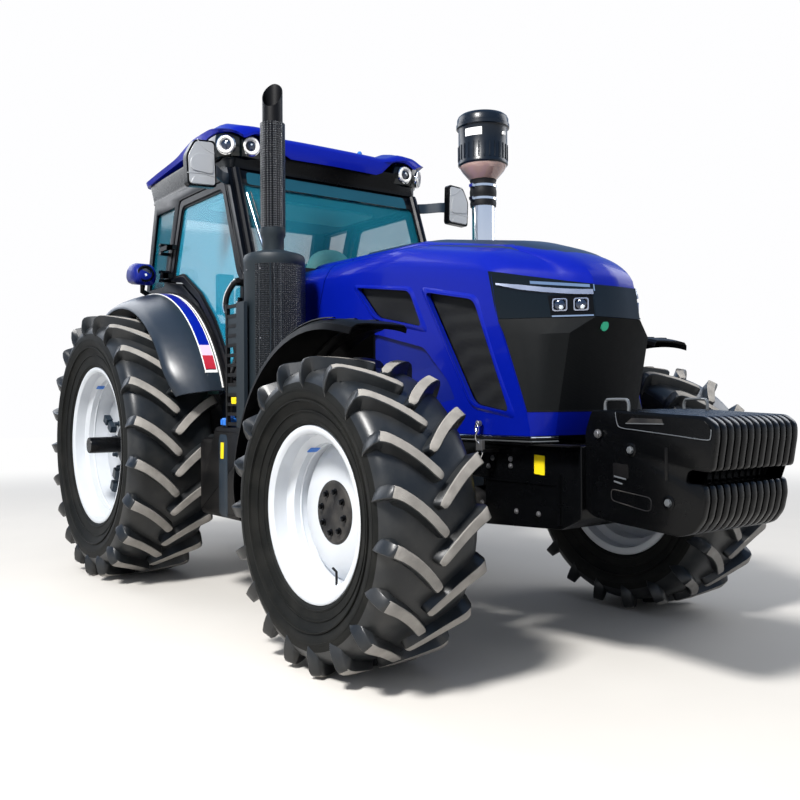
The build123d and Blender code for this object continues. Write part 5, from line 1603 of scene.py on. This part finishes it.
def make_frame_details():
    work = Work()
    for sign in (1, -1):
        face = sign * 0.33
        for a, b in ((3.131, 0.952), (3.261, 0.953), (3.101, 0.91), (3.261, 0.919),
                     (3.05, 0.72), (3.3, 0.7), (3.45, 0.7)):
            work.bolt((a, face, b), (0, sign, 0), 0.01, steel)
        work.prism(panel(3.58, 0.66, 3.596, 0.9, 0.004), face, face + sign * 0.012, black_gloss)
        work.prism([(3.07, 0.842), (3.56, 0.842), (3.56, 0.85), (3.07, 0.85)],
                   face, face + sign * 0.006, black_gloss)
        work.prism([(2.99, 1.028), (3.715, 1.028), (3.715, 1.036), (2.99, 1.036)], sign * 0.33,
                   sign * 0.3995, black_steel)
        for z, out, surface in ((1.047, 0.408, wear_and_painted_highlight), (1.059, 0.414, black_steel),
                                (1.067, 0.414, chrome)):
            route = [(2.96, sign * (out + 0.012), z), (3.1, sign * (out + 0.012), z),
                     (3.488, sign * out, z), (3.506, sign * (out - 0.02), z),
                     (3.54, sign * 0.288, z)]
            work.tube(route, 0.0042, surface, 8)
        work.prism([(3.02, 1.034), (3.485, 1.034), (3.485, 1.068), (3.02, 1.068)],
                   sign * 0.35, sign * 0.402, black_steel)
    work.prism(rounded([(3.425, 0.89), (3.492, 0.886), (3.492, 0.978), (3.425, 0.982)], 0.005),
               -0.3325, -0.329, yellow)
    make("frame_details", work, "chassis", angle=30, slot="black_steel")

    latch = Work()
    for sign in (1, -1):
        y = sign * 0.462
        latch.lathe([(-0.01, 0.014), (0.01, 0.014), (0.014, 0.008)],
                    (3.16, y - sign * 0.014, 1.128), steel, (0, sign, 0), 16)
        hook = smooth_line([(3.16, y, 1.13), (3.152, y, 1.108), (3.162, y, 1.09), (3.15, y, 1.068),
                            (3.146, y - sign * 0.01, 1.045), (3.158, y - sign * 0.03, 1.015),
                            (3.168, y - sign * 0.03, 0.985), (3.15, y - sign * 0.03, 0.955),
                            (3.132, y - sign * 0.03, 0.968), (3.136, y - sign * 0.03, 0.99)], 5)
        latch.tube(hook, 0.0045, chrome, 10)
        ring = [(3.16 + 0.013 * cos(a), y, 1.103 + 0.018 * sin(a)) for a in turns(16)]
        latch.tube(ring, 0.003, chrome, 8, closed=True)
        latch.box((3.132, y - sign * 0.04, 0.995), (3.176, y - sign * 0.02, 1.045), steel)
        latch.box((3.12, sign * 0.33, 0.985), (3.18, sign * 0.435, 1.0), black_steel)
    make("hood_latches", latch, "chassis", bevel=0.001, slot="hitch_steel")


make_frame_details()


# ---- tanks, rail and steps ----------------------------------------------------------------
def make_tanks():
    work = Work()
    right = [(1.06, 0.52), (1.88, 0.52), (1.905, 0.56), (1.905, 1.06), (1.86, 1.1),
             (1.27, 1.1), (1.244, 1.07), (1.244, 1.018), (1.04, 1.018), (1.04, 0.56)]
    work.layered(rounded(right, 0.05), [(-0.42, 0.012), (-0.432, 0.0), (-0.94, 0.0),
                                        (-0.972, 0.01), (-0.988, 0.034)], black_steel)
    plan = rounded([(1.33, -0.9), (1.33, -0.994), (1.48, -0.994), (1.48, -0.9)], 0.04, 5)
    work.layered(plan, [(0.53, 0.02), (0.56, 0.0), (1.01, 0.0), (1.055, 0.008),
                        (1.085, 0.024), (1.102, 0.034)], slate, axis="z")
    work.lathe([(-0.004, 0.045), (0.004, 0.045), (0.006, 0.04), (0.006, 0.034), (-0.004, 0.034)],
               (1.58, -0.986, 0.815), black_steel, (0, -1, 0), 28, closed=True)
    work.box((1.1, -0.42, 0.7), (1.5, -0.235, 0.8), black_steel)
    left = [(1.52, 0.52), (1.88, 0.52), (1.905, 0.56), (1.905, 1.06), (1.86, 1.1),
            (1.54, 1.1), (1.5, 1.06), (1.5, 0.56)]
    work.layered(rounded(left, 0.05), [(0.42, 0.012), (0.432, 0.0), (0.94, 0.0),
                                       (0.974, 0.01), (0.989, 0.034)], slate)
    work.box((1.51, 0.235, 0.7), (1.69, 0.42, 0.8), black_steel)
    for x, wide, surface in ((1.44, 0.02, black_steel), (1.588, 0.102, stack_black)):
        work.prism(panel(x, 1.09, x + wide, 1.84, 0.006), -0.985, -0.962, surface)
    rung = Work()
    rung.prism(panel(1.452, 0.0, 1.6, 0.02, 0.003), -0.983, -0.964, black_steel)
    work.add(copies(rung, 13, black_steel, start=(0, 0, 1.1), step=(0, 0, 0.0595)))
    blind = Work()
    blind.box((1.455, -0.98, 0.02), (1.59, -0.9785, 0.06), stack_black)
    for z in (1.278, 1.576, 1.635, 1.695):
        work.add(blind.flat_mesh(), Matrix.Translation((0, 0, z)))
    work.prism(panel(1.52, 1.232, 1.582, 1.272, 0.006), -0.9865, -0.983, yellow)
    for x, y, low, high in ((1.14, -0.7, 1.015, 1.045), (1.72, 0.72, 1.09, 1.12)):
        work.lathe([(low, 0.055), (high, 0.055)], (x, y, 0.0), stack_black, steps=32)
    cap = Work()
    cap.lathe([(0.0, 0.052), (0.01, 0.058), (0.036, 0.058), (0.044, 0.05)], (0, 0, 0), cap_blue,
              steps=32)
    grip = Work()
    grip.box((-0.006, 0.05, 0.004), (0.006, 0.06, 0.036), cap_blue)
    cap.add(copies(grip, 12, cap_blue, turn=(0, 0, tau / 12)))
    cap.box((-0.045, -0.008, 0.04), (0.045, 0.008, 0.058), cap_blue)
    for place in ((1.4, -0.935, 1.1), (1.66, 0.85, 1.098)):
        work.add(cap.flat_mesh(), Matrix.Translation(place))
    work.prism(rounded([(1.385, 0.895), (1.425, 0.895), (1.43, 0.995), (1.39, 0.995)], 0.006),
               -0.9965, -0.992, yellow)
    make("tanks_finished", work, "chassis", "tanks", angle=34)


def make_steps():
    work = Work()
    for x in (1.01, 1.448):
        work.prism(rounded([(0.56, 0.43), (1.0, 0.43), (1.0, 0.52), (0.94, 1.03), (0.56, 1.03)],
                           0.02), x, x + 0.012, black_steel, axis="x")
    for z, y in ((0.44, 1.0), (0.7, 0.96), (0.96, 0.9)):
        work.box((1.01, 0.64, z - 0.01), (1.46, y, z - 0.004), black_steel)
        tread = Work()
        tread.box((1.022, 0.0, z - 0.006), (1.448, 0.01, z + 0.012), wear_and_painted_highlight)
        count = int((y - 0.64) / 0.03)
        work.add(copies(tread, count, black_steel, start=(0, 0.645, 0), step=(0, 0.03, 0)))
    work.box((1.022, 0.235, 0.7), (1.12, 0.64, 0.8), black_steel)
    make("steps_left_finished", work, "chassis", "steps_left", bevel=0.0015)


make_tanks()
make_steps()


# ---- grab rails -------------------------------------------------------------------
def make_grab_rail():
    work = Work()
    for sign in (1, -1):
        y = sign * 0.862
        route = smooth_line([(1.335, sign * 0.9, 1.42), (1.335, y, 1.52), (1.32, y, 1.605),
                             (1.262, y, 1.7), (1.24, y, 1.77), (1.19, y, 1.85),
                             (1.215, y, 1.93), (1.3, y, 1.99), (1.37, y, 2.01)], 6)
        work.tube(route, 0.017, soft_black, 16)
        # a bright strip along the upper bend alone
        work.tube([(x - 0.006, out + sign * 0.014, z + 0.006) for x, out, z in route[-22:]],
                  0.006, chrome, 10)
        work.tube([(1.335, sign * 0.9, 1.42), (1.335, sign * 0.9, 1.1)], 0.015, soft_black, 14)
        work.box((1.31, sign * 0.8, 1.085), (1.36, sign * 0.9, 1.11), black_steel)
        work.box((1.31, sign * 0.6, 1.98), (1.35, sign * 0.86, 2.02), black_steel)
    work.prism(rounded([(1.255, 1.61), (1.325, 1.6), (1.325, 1.7), (1.255, 1.708)], 0.008),
               -0.886, -0.88, yellow)
    make("grab_rails", work, "chassis", angle=34, slot="black_steel")


make_grab_rail()


# ---- hitch ----------------------------------------------------------------------------------
for node, body in (("lift_arms", "lift_arms"), ("lower_link_right", "lower_link_right"),
                   ("lower_link_left", "lower_link_left"), ("lift_rod_right", "lift_rod_right"),
                   ("lift_rod_left", "lift_rod_left"), ("top_link", "chassis"),
                   ("drawbar", "chassis")):
    refined(node, body)


# ---- camera, world, floor and lamps ------------------------------------------
CAMERA_PLACE = Vector((4.842, -3.352, 1.233))
YAW, PITCH, ROLL = radians(143.41), radians(0.173), radians(-0.353)
LENS = 39.69


def make_camera():
    ahead = Vector((cos(PITCH) * cos(YAW), cos(PITCH) * sin(YAW), sin(PITCH)))
    right = Vector((sin(YAW), -cos(YAW), 0.0))
    up = right.cross(ahead)
    level = Matrix((right, up, -ahead)).transposed().to_4x4()
    data = bpy.data.cameras.new("camera")
    data.lens, data.sensor_width = LENS, 36.0
    camera = new_object("camera", data)
    camera.matrix_world = (Matrix.Translation(CAMERA_PLACE) @ level
                           @ Matrix.Rotation(ROLL, 4, "Z"))
    scene.camera = camera


def make_world():
    """White to the camera; a pale sky over dull ground to reflections; soft light to the rest."""
    world = bpy.data.worlds.new("studio")
    world.use_nodes = True
    tree = world.node_tree
    way = tree.nodes.new("ShaderNodeTexCoord").outputs["Generated"]
    split = add_node(tree, "ShaderNodeSeparateXYZ", {0: way})
    rise = ramp_node(tree, split.outputs["Z"], 0.0, 0.4)
    sky = colour_mix(tree, rise, (0.9, 0.94, 1.0, 1.0), (0.2, 0.34, 0.6, 1.0))
    below = ramp_node(tree, split.outputs["Z"], -0.06, 0.02)
    seen_round = colour_mix(tree, below, (0.16, 0.16, 0.16, 1.0), sky)
    path = tree.nodes.new("ShaderNodeLightPath")
    shine = math_node(tree, "MAXIMUM", path.outputs["Is Glossy Ray"],
                      path.outputs["Is Transmission Ray"])
    lit = colour_mix(tree, shine, (0.4, 0.43, 0.48, 1.0), seen_round)
    final = colour_mix(tree, path.outputs["Is Camera Ray"], lit, (0.99, 0.99, 1.0, 1.0))
    tree.links.new(final, tree.nodes["Background"].inputs["Color"])
    scene.world = world


def make_floor():
    size = 30.0
    mesh = bpy.data.meshes.new("floor")
    mesh.from_pydata([(-size, -size, 0), (size, -size, 0), (size, size, 0), (-size, size, 0)],
                     [], [(0, 1, 2, 3)])
    floor = new_object("floor", mesh)
    surface = finish("pale_floor", (0.62, 0.6, 0.57), 0.8, grain=30.0, bump=0.02, vary=0.03,
                     shine=0.2)
    tree = surface.node_tree
    way = tree.nodes.new("ShaderNodeTexCoord").outputs["Object"]
    reach = add_node(tree, "ShaderNodeVectorMath", {0: way}, operation="LENGTH")
    far = ramp_node(tree, reach.outputs["Value"], 4.5, 13.0)
    path = tree.nodes.new("ShaderNodeLightPath")
    seen = math_node(tree, "MAXIMUM", path.outputs["Is Camera Ray"], path.outputs["Is Glossy Ray"])
    glow = tree.nodes.new("ShaderNodeEmission")
    blend = add_node(tree, "ShaderNodeMixShader",
                     {0: math_node(tree, "MULTIPLY", far, seen),
                      1: tree.nodes["Principled BSDF"].outputs[0], 2: glow.outputs[0]})
    feed(tree, tree.nodes["Material Output"], {"Surface": blend.outputs[0]})
    mesh.materials.append(surface)


def make_lamp(name, place, aim, size, power, colour=(1.0, 1.0, 1.0)):
    data = bpy.data.lights.new(name, "AREA")
    data.energy, data.size, data.color = power, size, colour
    lamp = new_object(name, data)
    lamp.location = place
    lamp.rotation_euler = (Vector(aim) - Vector(place)).to_track_quat("-Z", "Y").to_euler()


make_camera()
make_world()
make_floor()
MIDDLE = (0.0, 0.0, 1.2)
make_lamp("key", (3.2, -6.0, 8.0), MIDDLE, 1.6, 1500.0, (1.0, 0.98, 0.95))
make_lamp("fill", (2.0, 8.0, 6.0), MIDDLE, 5.0, 260.0)
make_lamp("back", (-7.0, -2.0, 6.0), MIDDLE, 5.0, 260.0)
scene.view_settings.view_transform = "Standard"
